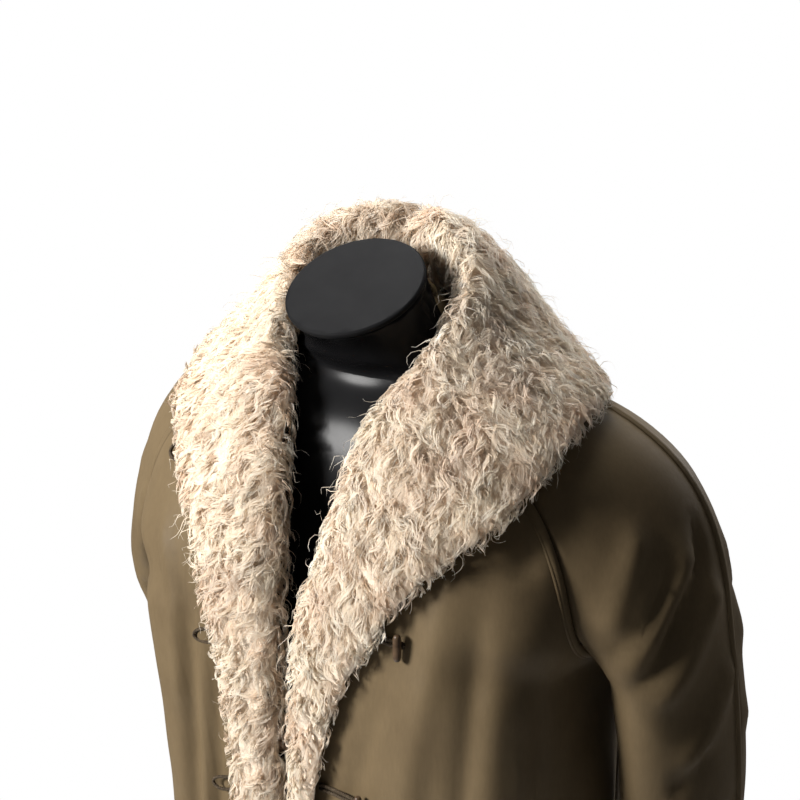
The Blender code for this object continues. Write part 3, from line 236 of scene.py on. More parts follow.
# Course of a hair, from 0 at its root to 1 at its tip
HAIR_STEPS = 7
CURL_EASE = 1.15  # power that draws its turns together towards the tip
CURL_GROWTH = 2.2  # its curl is full 1 / 2.2 of the way along
CURL_FLAT = 0.55  # height of the curl over its width
LEAN_ARC = 0.62  # share of half a sine wave that its rise follows
LEAN_END = 0.86  # where the rise ends
DROOP = 0.16  # drop of its tip in lengths
SPIN_START = 1.7  # turn of the ribbon at its root, in phases
SPIN_SWING = 1.4  # and how far it then turns to and fro
SPIN_FLAT = 0.8  # how far it stands on edge
TIP_NARROWS = 0.85  # share by which the tip is narrower
TIP_POWER = 1.6
ROOT_BREADTH = (0.55, 0.45)  # at the very root, and what it gains 1 / 5 of the way along
ROOT_GROWTH = 5.0
# Shading of a ribbon: shares of the pile's outward way, the ribbon's own and its rounding
SHADE_OUT = 0.85
SHADE_OWN = 0.30
SHADE_ROUND = 0.38

# -------- hard pieces and finishes
CORD_SWELL = 0.00045  # the braid stands proud of the cords' solids
LOOPS = 4
TOGGLES = 3
CREASE = 0.9
SHARP_FORM = 40.0  # degrees over which an edge of the form or stand stays sharp
SHARP_CORD = 80.0  # and of a cord or toggle
FLAT_JOIN = 30.0  # degrees under which two triangles become a square again

rng = np.random.default_rng(SEED)


# -------- small tools
def unit(v):
    return v / np.maximum(np.linalg.norm(v, axis=-1, keepdims=True), 1e-12)


def smooth(x):
    x = np.clip(x, 0.0, 1.0)
    return x * x * (3.0 - 2.0 * x)


def vary(pair, count):
    """Random values from the pair's least, over its spread."""
    least, spread = pair
    return least + spread * rng.random(count)


def linked(name, data):
    ob = bpy.data.objects.new(name, data)
    bpy.context.scene.collection.objects.link(ob)
    return ob


def object_from(bm, name, mat):
    """Turns a bmesh into an object with one material."""
    me = bpy.data.meshes.new(name)
    bm.to_mesh(me)
    bm.free()
    me.materials.clear()
    me.materials.append(mat)
    return linked(name, me)


def new_object(name, verts, faces, mat):
    me = bpy.data.meshes.new(name)
    me.from_pydata([tuple(v) for v in verts], [], faces)
    me.materials.append(mat)
    me.polygons.foreach_set("use_smooth", [True] * len(me.polygons))
    return linked(name, me)


def points_of(me):
    co = np.empty(len(me.vertices) * 3)
    me.vertices.foreach_get("co", co)
    return co.reshape(-1, 3)


def normals_of(me):
    no = np.empty(len(me.vertices) * 3)
    me.vertex_normals.foreach_get("vector", no)
    return no.reshape(-1, 3)


def move_points(me, co):
    me.vertices.foreach_set("co", co.ravel())
    me.update()


def tree_of(me):
    return BVHTree.FromPolygons([v.co for v in me.vertices], [tuple(p.vertices) for p in me.polygons])


def tree_of_points(points):
    tree = KDTree(len(points))
    for k, p in enumerate(points):
        tree.insert(Vector(p), k)
    tree.balance()
    return tree


def pixel_ray(x, y):
    """Direction from the camera through a pixel of the photo."""
    ahead = (Vector(CAMERA_AIM) - Vector(CAMERA_AT)).normalized()
    right = ahead.cross(Vector((0.0, 0.0, 1.0))).normalized()
    up = right.cross(ahead)
    across = (x / IMAGE - 0.5) * SENSOR / LENS
    above = (0.5 - y / IMAGE) * SENSOR / LENS
    return (ahead + right * across + up * above).normalized()


# -------- node tools for materials
class Nodes:
    """A material's node tree, with short names for what finishes need."""

    def __init__(self, name):
        self.mat = bpy.data.materials.new(name)
        self.mat.use_nodes = True
        self.tree = self.mat.node_tree
        self.shader = self.tree.nodes["Principled BSDF"]
        self.out = self.tree.nodes["Material Output"]

    def add(self, kind, **values):
        node = self.tree.nodes.new(kind)
        for key, value in values.items():
            setattr(node, key, value)
        return node

    def link(self, a, b):
        self.tree.links.new(a, b)

    def place(self):
        return self.add("ShaderNodeTexCoord").outputs["Object"]

    def noise(self, scale, detail=3.0, rough=0.5, stretch=None):
        at = self.place()
        if stretch:
            mapping = self.add("ShaderNodeMapping")
            mapping.inputs["Scale"].default_value = stretch
            self.link(at, mapping.inputs["Vector"])
            at = mapping.outputs["Vector"]
        node = self.add("ShaderNodeTexNoise")
        node.inputs["Scale"].default_value = scale
        node.inputs["Detail"].default_value = detail
        node.inputs["Roughness"].default_value = rough
        self.link(at, node.inputs["Vector"])
        return node.outputs["Fac"]

    def bands(self, way, scale, distortion=0.0):
        node = self.add("ShaderNodeTexWave", wave_type="BANDS", bands_direction=way)
        node.inputs["Scale"].default_value = scale
        node.inputs["Distortion"].default_value = distortion
        self.link(self.place(), node.inputs["Vector"])
        return node.outputs["Fac"]

    def ramp(self, value, stops):
        node = self.add("ShaderNodeValToRGB")
        ramp = node.color_ramp
        while len(ramp.elements) < len(stops):
            ramp.elements.new(0.5)
        for element, (at, colour) in zip(ramp.elements, stops):
            element.position = at
            element.color = (*colour, 1.0)
        self.link(value, node.inputs["Fac"])
        return node.outputs["Color"]

    def multiply(self, amount, a, b):
        node = self.add("ShaderNodeMix", data_type="RGBA", blend_type="MULTIPLY")
        factor, first, second = (node.inputs[i] for i in (0, 6, 7))
        factor.default_value = amount
        self.link(a, first)
        self.link(b, second)
        return node.outputs[2]

    def bump(self, height, strength, depth, before=None):
        node = self.add("ShaderNodeBump")
        node.inputs["Strength"].default_value = strength
        node.inputs["Distance"].default_value = depth
        self.link(height, node.inputs["Height"])
        if before is not None:
            self.link(before, node.inputs["Normal"])
        return node.outputs["Normal"]

    def colour(self, socket):
        self.link(socket, self.shader.inputs["Base Color"])

    def normal(self, socket):
        self.link(socket, self.shader.inputs["Normal"])

    def roughness(self, value, low, high):
        node = self.add("ShaderNodeMapRange")
        node.inputs["To Min"].default_value = low
        node.inputs["To Max"].default_value = high
        self.link(value, node.inputs["Value"])
        self.link(node.outputs["Result"], self.shader.inputs["Roughness"])

    def set(self, **values):
        for key, value in values.items():
            self.shader.inputs[key.replace("_", " ")].default_value = value


def twill(name, dark, mid, light):
    """Fine satiny twill: narrow slanting ribs, slubs and slow changes of tone."""
    m = Nodes(name)
    tone = m.ramp(m.noise(scale=7.0, detail=4.0, rough=0.55), ((0.30, dark), (0.52, mid), (0.78, light)))
    slub = m.ramp(m.noise(scale=320.0, detail=2.0, rough=0.6, stretch=(1.0, 1.0, 0.25)),
                  ((0.25, (0.80, 0.80, 0.80)), (0.75, WHITE)))
    m.colour(m.multiply(0.55, tone, slub))
    ribs = m.bump(m.bands("DIAGONAL", scale=480.0, distortion=0.6), strength=0.16, depth=0.0003)
    m.normal(m.bump(m.noise(scale=60.0, detail=3.0, rough=0.6), strength=0.10, depth=0.0012, before=ribs))
    m.roughness(m.noise(scale=90.0, detail=2.0), 0.50, 0.64)
    m.set(Specular_IOR_Level=0.12, Sheen_Weight=0.05, Sheen_Roughness=0.35,
          Sheen_Tint=(0.80, 0.62, 0.44, 1.0))
    return m.mat


def pile_hair(name):
    """A lock's colour runs from its shaded root to its pale tip, and differs from lock to lock."""
    m = Nodes(name)
    uv = m.add("ShaderNodeSeparateXYZ")
    m.link(m.add("ShaderNodeTexCoord").outputs["UV"], uv.inputs[0])
    along = m.ramp(uv.outputs["X"], ((0.0, (0.78, 0.655, 0.52)), (0.30, (0.89, 0.80, 0.665)),
                                     (0.70, (0.94, 0.88, 0.77)), (1.0, (0.97, 0.95, 0.87))))
    each = m.ramp(uv.outputs["Y"], ((0.0, (0.84, 0.80, 0.75)), (0.5, (0.96, 0.94, 0.91)), (1.0, WHITE)))
    patch = m.ramp(m.noise(scale=26.0, detail=3.0), ((0.32, (0.90, 0.82, 0.78)), (0.60, WHITE)))
    colour = m.multiply(1.0, m.multiply(1.0, along, each), patch)
    m.colour(colour)
    m.roughness(uv.outputs["Y"], 0.55, 0.75)
    m.set(Specular_IOR_Level=0.30, Sheen_Weight=0.25, Sheen_Roughness=0.5)
    glow = m.add("ShaderNodeBsdfTranslucent")
    m.link(colour, glow.inputs["Color"])
    both = m.add("ShaderNodeMixShader")
    both.inputs[0].default_value = 0.45
    m.link(m.shader.outputs[0], both.inputs[1])
    m.link(glow.outputs[0], both.inputs[2])
    m.link(both.outputs[0], m.out.inputs["Surface"])
    return m.mat


def pile_base(name):
    """The felted depth between the locks."""
    m = Nodes(name)
    m.colour(m.ramp(m.noise(scale=150.0, detail=5.0, rough=0.65),
                    ((0.25, (0.64, 0.51, 0.40)), (0.50, (0.80, 0.68, 0.55)), (0.75, (0.88, 0.79, 0.66)))))
    m.normal(m.bump(m.noise(scale=420.0, detail=4.0, rough=0.7), strength=0.8, depth=0.003))
    m.roughness(m.noise(scale=70.0, detail=2.0), 0.85, 0.98)
    m.set(Specular_IOR_Level=0.15)
    return m.mat


def braid(name):
    """Round braided cord: two crossed rows of ribs."""
    m = Nodes(name)
    m.colour(m.ramp(m.noise(scale=500.0, detail=3.0),
                    ((0.3, (0.030, 0.021, 0.013)), (0.7, (0.095, 0.070, 0.044)))))
    first = m.bump(m.bands("DIAGONAL", scale=260.0), strength=0.6, depth=0.0008)
    m.normal(m.bump(m.bands("Z", scale=190.0), strength=0.4, depth=0.0006, before=first))
    m.roughness(m.noise(scale=300.0, detail=2.0), 0.60, 0.80)
    m.set(Specular_IOR_Level=0.15)
    return m.mat


def polished(name, dark, light, rough, grain, metal=0.0, shine=0.35):
    """A smooth hard surface with faint unevenness: form, cap, horn and metal."""
    m = Nodes(name)
    m.colour(m.ramp(m.noise(scale=grain, detail=4.0, rough=0.6), ((0.30, dark), (0.70, light))))
    m.roughness(m.noise(scale=grain * 3.0, detail=4.0), *rough)
    m.normal(m.bump(m.noise(scale=grain * 9.0, detail=2.0), strength=0.02, depth=0.001))
    m.set(Metallic=metal, Specular_IOR_Level=shine)
    return m.mat


def pale(name):
    m = Nodes(name)
    m.colour(m.ramp(m.noise(scale=3.0), ((0.3, (0.86, 0.86, 0.86)), (0.7, (0.90, 0.90, 0.90)))))
    m.set(Roughness=0.8)
    return m.mat


# -------- pieces from the solids
def welded(node):
    bm = bmesh.new()
    bm.from_mesh(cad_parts[node].data)
    bmesh.ops.remove_doubles(bm, verts=bm.verts, dist=WELD)
    bm.normal_update()
    return bm


def tree_of_solids(nodes):
    verts = []
    faces = []
    for node in nodes:
        bm = welded(node)
        first = len(verts)
        verts += [v.co.copy() for v in bm.verts]
        bm.verts.index_update()
        faces += [tuple(first + v.index for v in f.verts) for f in bm.faces]
        bm.free()
    return BVHTree.FromPolygons(verts, faces)


def to_quads(bm, most=math.pi):
    """Joins pairs of triangles that meet at less than an angle."""
    bmesh.ops.join_triangles(bm, faces=bm.faces, angle_face_threshold=most, angle_shape_threshold=math.pi)


def subdivided(ob, levels):
    """Rounds an object's mesh by subdivision, which becomes its mesh."""
    sub = ob.modifiers.new("smooth", "SUBSURF")
    sub.levels = levels
    sub.render_levels = levels
    sub.boundary_smooth = "PRESERVE_CORNERS"
    bpy.context.view_layer.update()
    ready = ob.evaluated_get(bpy.context.evaluated_depsgraph_get())
    me = bpy.data.meshes.new_from_object(ready)
    old = ob.data
    ob.modifiers.clear()
    ob.data = me
    bpy.data.meshes.remove(old)
    me.polygons.foreach_set("use_smooth", [True] * len(me.polygons))
    return me


def rim_faces(bm):
    """Faces that join a wall's two sides along its border."""
    narrow = set()
    for e in bm.edges:
        a, b = e.verts
        d = b.co - a.co
        long = d.length
        if long < EDGE_MOST:
            d.normalize()
            square = min(abs(d.dot(a.normal)), abs(d.dot(b.normal)))
            if square > (WALL_SQUARE if abs(long - CLOTH) < WALL_OFF else EDGE_SQUARE):
                narrow.update(e.link_faces)
    return narrow


def connected(bm):
    """Groups of faces that hang together, the largest first."""
    left = set(bm.faces)
    groups = []
    while left:
        heap = [left.pop()]
        group = []
        while heap:
            f = heap.pop()
            group.append(f)
            for e in f.edges:
                for g in e.link_faces:
                    if g in left:
                        left.discard(g)
                        heap.append(g)
        groups.append(group)
    groups.sort(key=lambda s: -sum(f.calc_area() for f in s))
    return groups


def outer_sheet(node, name, mat):
    """The outer face of a cloth wall as an open sheet of finer squares."""
    bm = welded(node)
    bmesh.ops.delete(bm, geom=list(rim_faces(bm)), context="FACES")
    way = Vector(OUTWARD.get(node, (0.0, 0.0, 0.0)))
    keep = set(max(connected(bm)[:2], key=lambda s: sum(f.calc_area() * f.normal.dot(way) for f in s)))
    bmesh.ops.delete(bm, geom=[f for f in bm.faces if f not in keep], context="FACES")
    bmesh.ops.delete(bm, geom=[v for v in bm.verts if not v.link_faces], context="VERTS")
    bmesh.ops.holes_fill(bm, edges=[e for e in bm.edges if e.is_boundary], sides=HOLE_SIDES)
    to_quads(bm)
    ob = object_from(bm, name, mat)
    subdivided(ob, SHEET_LEVELS)
    return ob


def rounded(node, name, mat, levels, sharp, swell=0.0):
    """A whole solid with finer, rounder faces. Edges over sharp degrees stay."""
    bm = welded(node)
    to_quads(bm, math.radians(FLAT_JOIN))
    layer = bm.edges.layers.float.get("crease_edge") or bm.edges.layers.float.new("crease_edge")
    for e in bm.edges:
        if len(e.link_faces) == 2 and e.calc_face_angle() > math.radians(sharp):
            e[layer] = CREASE
    ob = object_from(bm, name, mat)
    me = subdivided(ob, levels)
    if swell:
        move_points(me, points_of(me) + normals_of(me) * swell)
    return ob


def border_loops(me):
    """Border vertices of a sheet in order, one list for each closed border."""
    bm = bmesh.new()
    bm.from_mesh(me)
    bm.verts.ensure_lookup_table()
    nexts = {}
    for e in bm.edges:
        if len(e.link_faces) == 1:
            a, b = (v.index for v in e.verts)
            nexts.setdefault(a, []).append(b)
            nexts.setdefault(b, []).append(a)
    bm.free()
    loops = []
    unused = set(nexts)
    while unused:
        at = min(unused)
        unused.discard(at)
        loop = [at]
        step = [v for v in nexts[at] if v in unused]
        while step:
            at = step[0]
            unused.discard(at)
            loop.append(at)
            step = [v for v in nexts[at] if v in unused]
        loops.append(loop)
    return loops


def opened(loop, inside):
    """A closed loop started outside, so that no run of inside points is cut in two."""
    cut = next((k for k, i in enumerate(loop) if i not in inside), 0)
    return loop[cut:] + loop[:cut]


# -------- folds
def on_piece(tree, pixels, to_hem):
    """Where a line of pixels falls on a piece. A hanging fold goes on down to the hem."""
    found = []
    for x, y in pixels:
        hit = tree.ray_cast(Vector(CAMERA_AT), pixel_ray(x, y))[0]
        if hit is not None:
            found.append(hit)
    if to_hem and len(found) > 1:
        found.append(tree.find_nearest(Vector((found[-1][0], found[-1][1], HEM_Z + FOLD_END)))[0])
    return found


def fold_lines(trees):
    """Every fold as (piece, half width, height, points in space), those out of sight included."""
    lines = []
    for name, width, rise, pixels in FOLDS:
        found = on_piece(trees[name], pixels, pixels[-1][1] > HANGS_BELOW and name.startswith("coat"))
        if len(found) > 1:
            lines.append((name, width, rise, found))
    for name, width, rise, points in FAR_FOLDS:
        lines.append((name, width, rise, [trees[name].find_nearest(Vector(p))[0] for p in points]))
    shown = [line[1:] for line in lines if line[0] == MIRRORED]
    for name, mirror, move, share in MIRROR_FOLDS:
        for width, rise, points in shown:
            there = [Vector(np.array(p) * mirror + np.array(move)) for p in points]
            lines.append((name, width, rise * share, [trees[name].find_nearest(p)[0] for p in there]))
    return lines


def along_line(co, line):
    """Distance of each point from a line of points, and how far along it the nearest place is, 0 to 1."""
    line = np.array([tuple(p) for p in line])
    ends = np.concatenate([[0.0], np.cumsum(np.linalg.norm(np.diff(line, axis=0), axis=1))])
    best = np.full(len(co), np.inf)
    where = np.zeros(len(co))
    for a, b, start in zip(line[:-1], line[1:], ends[:-1]):
        ab = b - a
        long = np.linalg.norm(ab)
        t = np.clip(((co - a) @ ab) / (long * long), 0.0, 1.0)
        d = np.linalg.norm(co - (a + t[:, None] * ab), axis=1)
        near = d < best
        best = np.where(near, d, best)
        where = np.where(near, (start + t * long) / ends[-1], where)
    return best, where


def fold_sheet(ob, lines, full, calm):
    """Raises and sinks a sheet along its folds. calm is the tree of border points near which it stays."""
    me = ob.data
    co = points_of(me)
    out = normals_of(me)
    lift = np.zeros(len(co))
    for width, rise, line in lines:
        far, where = along_line(co, line)
        ends = smooth(np.minimum(where, 1.0 - where) / FOLD_FADE + FOLD_TIP)
        uneven = 1.0 + WAVER * np.sin(where * WAVER_TURNS + rise * WAVER_SHIFT)
        lift += FOLD_GAIN * rise * uneven * ends * np.exp(-(far / width) ** 2)
    x, y, z = co.T
    lift += (RIPPLE * np.sin(z * RIPPLE_XZ[1] + x * RIPPLE_XZ[0])
             * np.sin(z * RIPPLE_YZ[1] - y * RIPPLE_YZ[0]))
    near = np.array([calm.find(Vector(p))[2] for p in co])
    still = smooth(near / SEAM_CALM)[:, None]
    for width, shift, line in full:
        far, where = along_line(co, line)
        amount = smooth(where / FULL_FADE + FULL_TIP) * np.exp(-(far / width) ** 2)
        co = co + np.array(shift) * amount[:, None] * still
    move_points(me, co + out * lift[:, None] * still)


def calm_tree(me):
    """Border points of a sheet without the hem's, where folds run out."""
    co = points_of(me)
    return tree_of_points([co[i] for loop in border_loops(me) for i in loop if co[i][2] > HEM_Z + HEM_LOOSE])


def folded_sheets(mat):
    """Each cloth piece as an open sheet with its folds."""
    sheets = {name: outer_sheet(name, name + "_cloth", mat) for name in CLOTHS}
    trees = {name: tree_of(ob.data) for name, ob in sheets.items()}
    lines = fold_lines(trees)
    for name, ob in sheets.items():
        full = [(width, shift, on_piece(trees[name], pixels, True))
                for piece, width, shift, pixels in FULLNESS if piece == name]
        fold_sheet(ob, [line[1:] for line in lines if line[0] == name], full, calm_tree(ob.data))
    return sheets


def thick(ob):
    """Gives a sheet its wall, inwards from its outer face."""
    wall = ob.modifiers.new("wall", "SOLIDIFY")
    wall.thickness = CLOTH
    wall.offset = -1.0
    wall.use_even_offset = False
    wall.use_quality_normals = True


# -------- seams
def seam_points(me, other):
    """The longest run of a sheet's border that lies along another sheet's border."""
    co = points_of(me)
    theirs = points_of(other)
    tree = tree_of_points([theirs[i] for loop in border_loops(other) for i in loop])
    best = []
    for loop in border_loops(me):
        near = {i for i in loop if tree.find(Vector(co[i]))[2] < SEAM_NEAR}
        loop = opened(loop, near)
        run = []
        for i in loop:
            if i in near:
                run.append(i)
            if i not in near or i == loop[-1]:
                if len(run) > len(best):
                    best = run
                run = []
    return co[best]


def low_border(me, height):
    """The border points of a sheet that make its hem or cuff, in order."""
    co = points_of(me)
    low = {i for i in range(len(co)) if co[i][2] < height}
    return co[max(([i for i in opened(loop, low) if i in low] for loop in border_loops(me)), key=len)]


def resampled(line, step):
    """The same line with points about a step apart."""
    far = np.concatenate([[0.0], np.cumsum(np.linalg.norm(np.diff(line, axis=0), axis=1))])
    at = np.linspace(0.0, far[-1], max(3, int(far[-1] / step) + 1))
    return np.column_stack([np.interp(at, far, line[:, i]) for i in range(3)])


def beside(tree, line, inner, reach):
    """Points of a surface at a distance from a line on it, their normals and the line's direction."""
    along = unit(np.gradient(line, axis=0))
    places = []
    outs = []
    for p, t in zip(line, along):
        normal = tree.find_nearest(Vector(p))[1]
        side = Vector(t).cross(normal).normalized()
        if side.dot(Vector(inner) - Vector(p)) < 0:
            side = -side
        place, normal, _, _ = tree.find_nearest(Vector(p) + side * reach)
        places.append(tuple(place))
        outs.append(tuple(normal))
    return np.array(places), np.array(outs), along


def welt(name, tree, line, inner, mat):
    """A low raised band along a seam, as the turned allowances under the cloth make it."""
    rows = []
    for reach, rise in WELT_PROFILE:
        places, outs, _ = beside(tree, line, inner, reach * WELT_W)
        rows.append(places + outs * (rise * WELT_H + LAID))
    verts = np.array(rows).transpose(1, 0, 2).reshape(-1, 3)
    n = len(WELT_PROFILE)
    faces = [(i * n + j, i * n + j + 1, (i + 1) * n + j + 1, (i + 1) * n + j)
             for i in range(len(line) - 1) for j in range(n - 1)]
    return new_object(name, verts, faces, mat)


def stitches(name, tree, line, inner, reach, lift, mat):
    """A row of short threads laid end to end with small gaps."""
    places, outs, along = beside(tree, resampled(line, STITCH_STEP), inner, reach)
    verts = []
    faces = []
    for p, n, t in zip(places, outs, along):
        side = np.cross(t, n)
        first = len(verts)
        for h, r in STITCH_RINGS:
            for q in range(STITCH_SIDES):
                a = math.tau * q / STITCH_SIDES
                verts.append(p + n * lift + t * h * STITCH_L
                             + (side * math.cos(a) + n * math.sin(a)) * r * STITCH_R)
        for i in range(len(STITCH_RINGS) - 1):
            for q in range(STITCH_SIDES):
                k = (q + 1) % STITCH_SIDES
                a = first + i * STITCH_SIDES
                faces.append((a + q, a + k, a + STITCH_SIDES + k, a + STITCH_SIDES + q))
    return new_object(name, verts, faces, mat)


def sew(sheets, extras, cloth, thread):
    """Welts and stitches along the seams, then a row of stitches over each hem and cuff."""
    trees = {name: tree_of(ob.data) for name, ob in sheets.items()}
    for carrier, neighbour in WELTS:
        line = resampled(seam_points(sheets[carrier].data, sheets[neighbour].data), WELT_STEP)[1:-1]
        middle = points_of(sheets[carrier].data).mean(axis=0)
        inner = middle * 0.5 + line.mean(axis=0) * 0.5
        tag = carrier + "_by_" + neighbour.split("_", 1)[1]
        extras[carrier].append(welt("welt_" + tag, trees[carrier], line, inner, cloth))
        extras[carrier].append(stitches("stitches_" + tag, trees[carrier], line, inner, STITCH_IN,
                                        WELT_H * STITCH_UP, thread))
    for name in CLOTHS:
        if name != "undercollar":
            co = points_of(sheets[name].data)
            lowest = co[:, 2].min()
            line = low_border(sheets[name].data, lowest + BORDER_RISE)
            inner = co[co[:, 2] > lowest + INNER_UP].mean(axis=0)
            extras[name].append(stitches("hem_row_" + name, trees[name], line, inner, HEM_ROW, LAID, thread))


# -------- pile
def pelt_depth(co, cloth):
    """How far each point is from the cloth under the pelt."""
    return np.array([cloth.find_nearest(Vector(p))[3] for p in co])


def flatter(co):
    """Share of its depth by which the pile is pressed down at each point."""
    return TRIM_SHARE * np.exp(-(np.linalg.norm(co - np.array(TRIM_AT), axis=1) / TRIM_R) ** 2)


def at_nape(co):
    """The points where the pelt's two halves are sewn together."""
    return (np.abs(co[:, 0]) < SEAM_X) & (co[:, 2] > SEAM_UP)


def lock_size(deep):
    return np.clip(deep / PILE_FULL, PILE_THIN, 1.0)


def pelt_base(node, name, cloth, mat):
    """The pelt's felted backing: its solid, drawn in towards the cloth and left lumpy."""
    bm = welded(node)
    to_quads(bm)
    ob = object_from(bm, name, mat)
    me = subdivided(ob, FELT_LEVELS)
    co = points_of(me)
    out = normals_of(me)
    out[at_nape(co), 0] = 0.0
    deep = pelt_depth(co, cloth)
    lump = np.ones(len(co))
    for waves in LUMP_WAVES:
        lump = lump * np.sin(co @ np.array(waves))
    share = PILE_SINK + (PRESSED_SINK - PILE_SINK) * flatter(co)
    sink = np.where(deep > PELT_LEAST, deep * share, 0.0) - lump * LUMP_H * smooth(deep / LUMP_DEPTH)
    move_points(me, co - unit(out) * sink[:, None])
    return ob


def scatter(me, cloth, count):
    """Evenly random places on a pelt's outer face: point, normal and depth of pile."""
    me.calc_loop_triangles()
    corners = np.empty(len(me.loop_triangles) * 3, np.int64)
    me.loop_triangles.foreach_get("vertices", corners)
    corners = corners.reshape(-1, 3)
    co = points_of(me)
    no = normals_of(me)
    deep = pelt_depth(co, cloth)
    a, b, c = (co[corners[:, i]] for i in range(3))
    area = np.linalg.norm(np.cross(b - a, c - a), axis=1) / 2.0
    area = np.where(deep[corners].mean(axis=1) > PELT_LEAST, area, 0.0)
    area = np.where(at_nape(co)[corners].all(axis=1), 0.0, area)
    pick = rng.choice(len(area), size=count, p=area / area.sum())
    u = np.sqrt(rng.random(count))
    v = rng.random(count)
    w = np.column_stack([1.0 - u, u * (1.0 - v), u * v])[..., None]
    chosen = corners[pick]
    places = (co[chosen] * w).sum(axis=1)
    outs = unit((no[chosen] * w).sum(axis=1))
    deep = (deep[chosen] * w[..., 0]).sum(axis=1)
    press = deep * flatter(places)
    return places - outs * press[:, None], outs, deep - press


def flow(places, outs, side):
    """Direction in which the pile lies: down and away from the neck, along the surface."""
    away = unit(places * np.array([1.0, 1.0, 0.0]) - NECK)
    front = smooth((-places[:, 1] + FRONT_FROM) / FRONT_OVER)[:, None]
    away = unit(away * (1.0 - front) + np.array([side, 0.0, 0.0]) * front)
    way = DOWN + away * FLOW_OUT
    return unit(way - outs * (way * outs).sum(axis=1, keepdims=True))


def turned(ways, outs, turn):
    """Ways turned in the surface by an angle each."""
    return ways * np.cos(turn)[:, None] + np.cross(ways, outs) * np.sin(turn)[:, None]


def hair_lines(roots, ways, outs, lengths, curl, angle, lean, s):
    """Middle line of each hair: along its way, round its curl, up by its lean and down under its weight."""
    side = unit(np.cross(ways, outs))
    grow = smooth(s * CURL_GROWTH)[None, :]
    swing = curl[:, None] * grow * np.sin(angle)
    bob = curl[:, None] * grow * np.cos(angle) * CURL_FLAT
    rise = lean[:, None] * np.sin(np.pi * np.minimum(s, LEAN_END) * LEAN_ARC)[None, :]
    droop = (lengths * DROOP)[:, None] * (s ** 2)[None, :]
    return (roots[:, None, :] + ways[:, None, :] * (lengths[:, None] * s[None, :])[..., None]
            + side[:, None, :] * swing[..., None] + outs[:, None, :] * (rise + bob)[..., None]
            + DOWN * droop[..., None])


def hair_across(along, outs, angle, phase):
    """Direction across each ribbon, which turns to and fro along the hair."""
    spin = phase[:, None] * SPIN_START + SPIN_SWING * np.sin(angle * 0.5)
    flat = unit(np.cross(along, outs[:, None, :]))
    over = unit(np.cross(flat, along))
    return unit(flat * np.cos(spin * 0.5)[..., None] + over * np.sin(spin * 0.5)[..., None] * SPIN_FLAT)


def ribbon_faces(across, along, outs):
    """Four corners of every face, wound so that it looks out of the pile."""
    first = (np.arange(len(outs)) * (HAIR_STEPS + 1) * 2)[:, None] + (np.arange(HAIR_STEPS) * 2)[None, :]
    own = np.cross(across[:, :-1] + across[:, 1:], along[:, :-1] + along[:, 1:])
    inward = ((own * outs[:, None, :]).sum(axis=-1) < 0)[..., None]
    return np.where(inward, np.stack([first, first + 2, first + 3, first + 1], axis=-1),
                    np.stack([first, first + 1, first + 3, first + 2], axis=-1)).reshape(-1, 4)


def soft_normals(across, along, outs):
    """Normals that shade a ribbon as a part of the pile, a little rounded across."""
    own = unit(np.cross(across, along))
    flip = np.where((own * outs[:, None, :]).sum(axis=-1, keepdims=True) < 0, -1.0, 1.0)
    base = unit(outs[:, None, :] * SHADE_OUT + own * flip * SHADE_OWN)
    tilt = across * SHADE_ROUND
    return np.stack([unit(base - tilt), unit(base + tilt)], axis=2).reshape(-1, 3)


def ribbons(name, roots, ways, outs, lengths, widths, curl, turns, phase, lean, shade, mat):
    """Curly tapering hairs, each a bent ribbon, joined into one mesh. Its UV is (along, tone)."""
    s = np.linspace(0.0, 1.0, HAIR_STEPS + 1)
    angle = phase[:, None] + turns[:, None] * math.tau * s[None, :] ** CURL_EASE
    middle = hair_lines(roots, ways, outs, lengths, curl, angle, lean, s)
    along = unit(np.gradient(middle, axis=1))
    across = hair_across(along, outs, angle, phase)
    taper = ((1.0 - TIP_NARROWS * s ** TIP_POWER)[None, :]
             * (ROOT_BREADTH[0] + ROOT_BREADTH[1] * smooth(s * ROOT_GROWTH))[None, :])
    half = across * (widths[:, None] * taper)[..., None] / 2.0
    verts = np.stack([middle - half, middle + half], axis=2).reshape(-1, 3)
    faces = ribbon_faces(across, along, outs)
    me = bpy.data.meshes.new(name)
    me.vertices.add(len(verts))
    me.vertices.foreach_set("co", verts.ravel())
    me.loops.add(faces.size)
    me.loops.foreach_set("vertex_index", faces.ravel())
    me.polygons.add(len(faces))
    me.polygons.foreach_set("loop_start", np.arange(0, faces.size, 4))
    me.polygons.foreach_set("use_smooth", np.ones(len(faces), bool))
    me.update(calc_edges=True)
    me.materials.append(mat)
    uv = np.stack(np.broadcast_arrays(s[None, :], shade[:, None]), axis=-1)
    uv = np.repeat(uv[:, :, None, :], 2, axis=2).reshape(-1, 2)
    me.uv_layers.new(name="hair").data.foreach_set("uv", uv[faces.ravel()].ravel())
    me.normals_split_custom_set_from_vertices([tuple(v) for v in soft_normals(across, along, outs)])
    return linked(name, me)


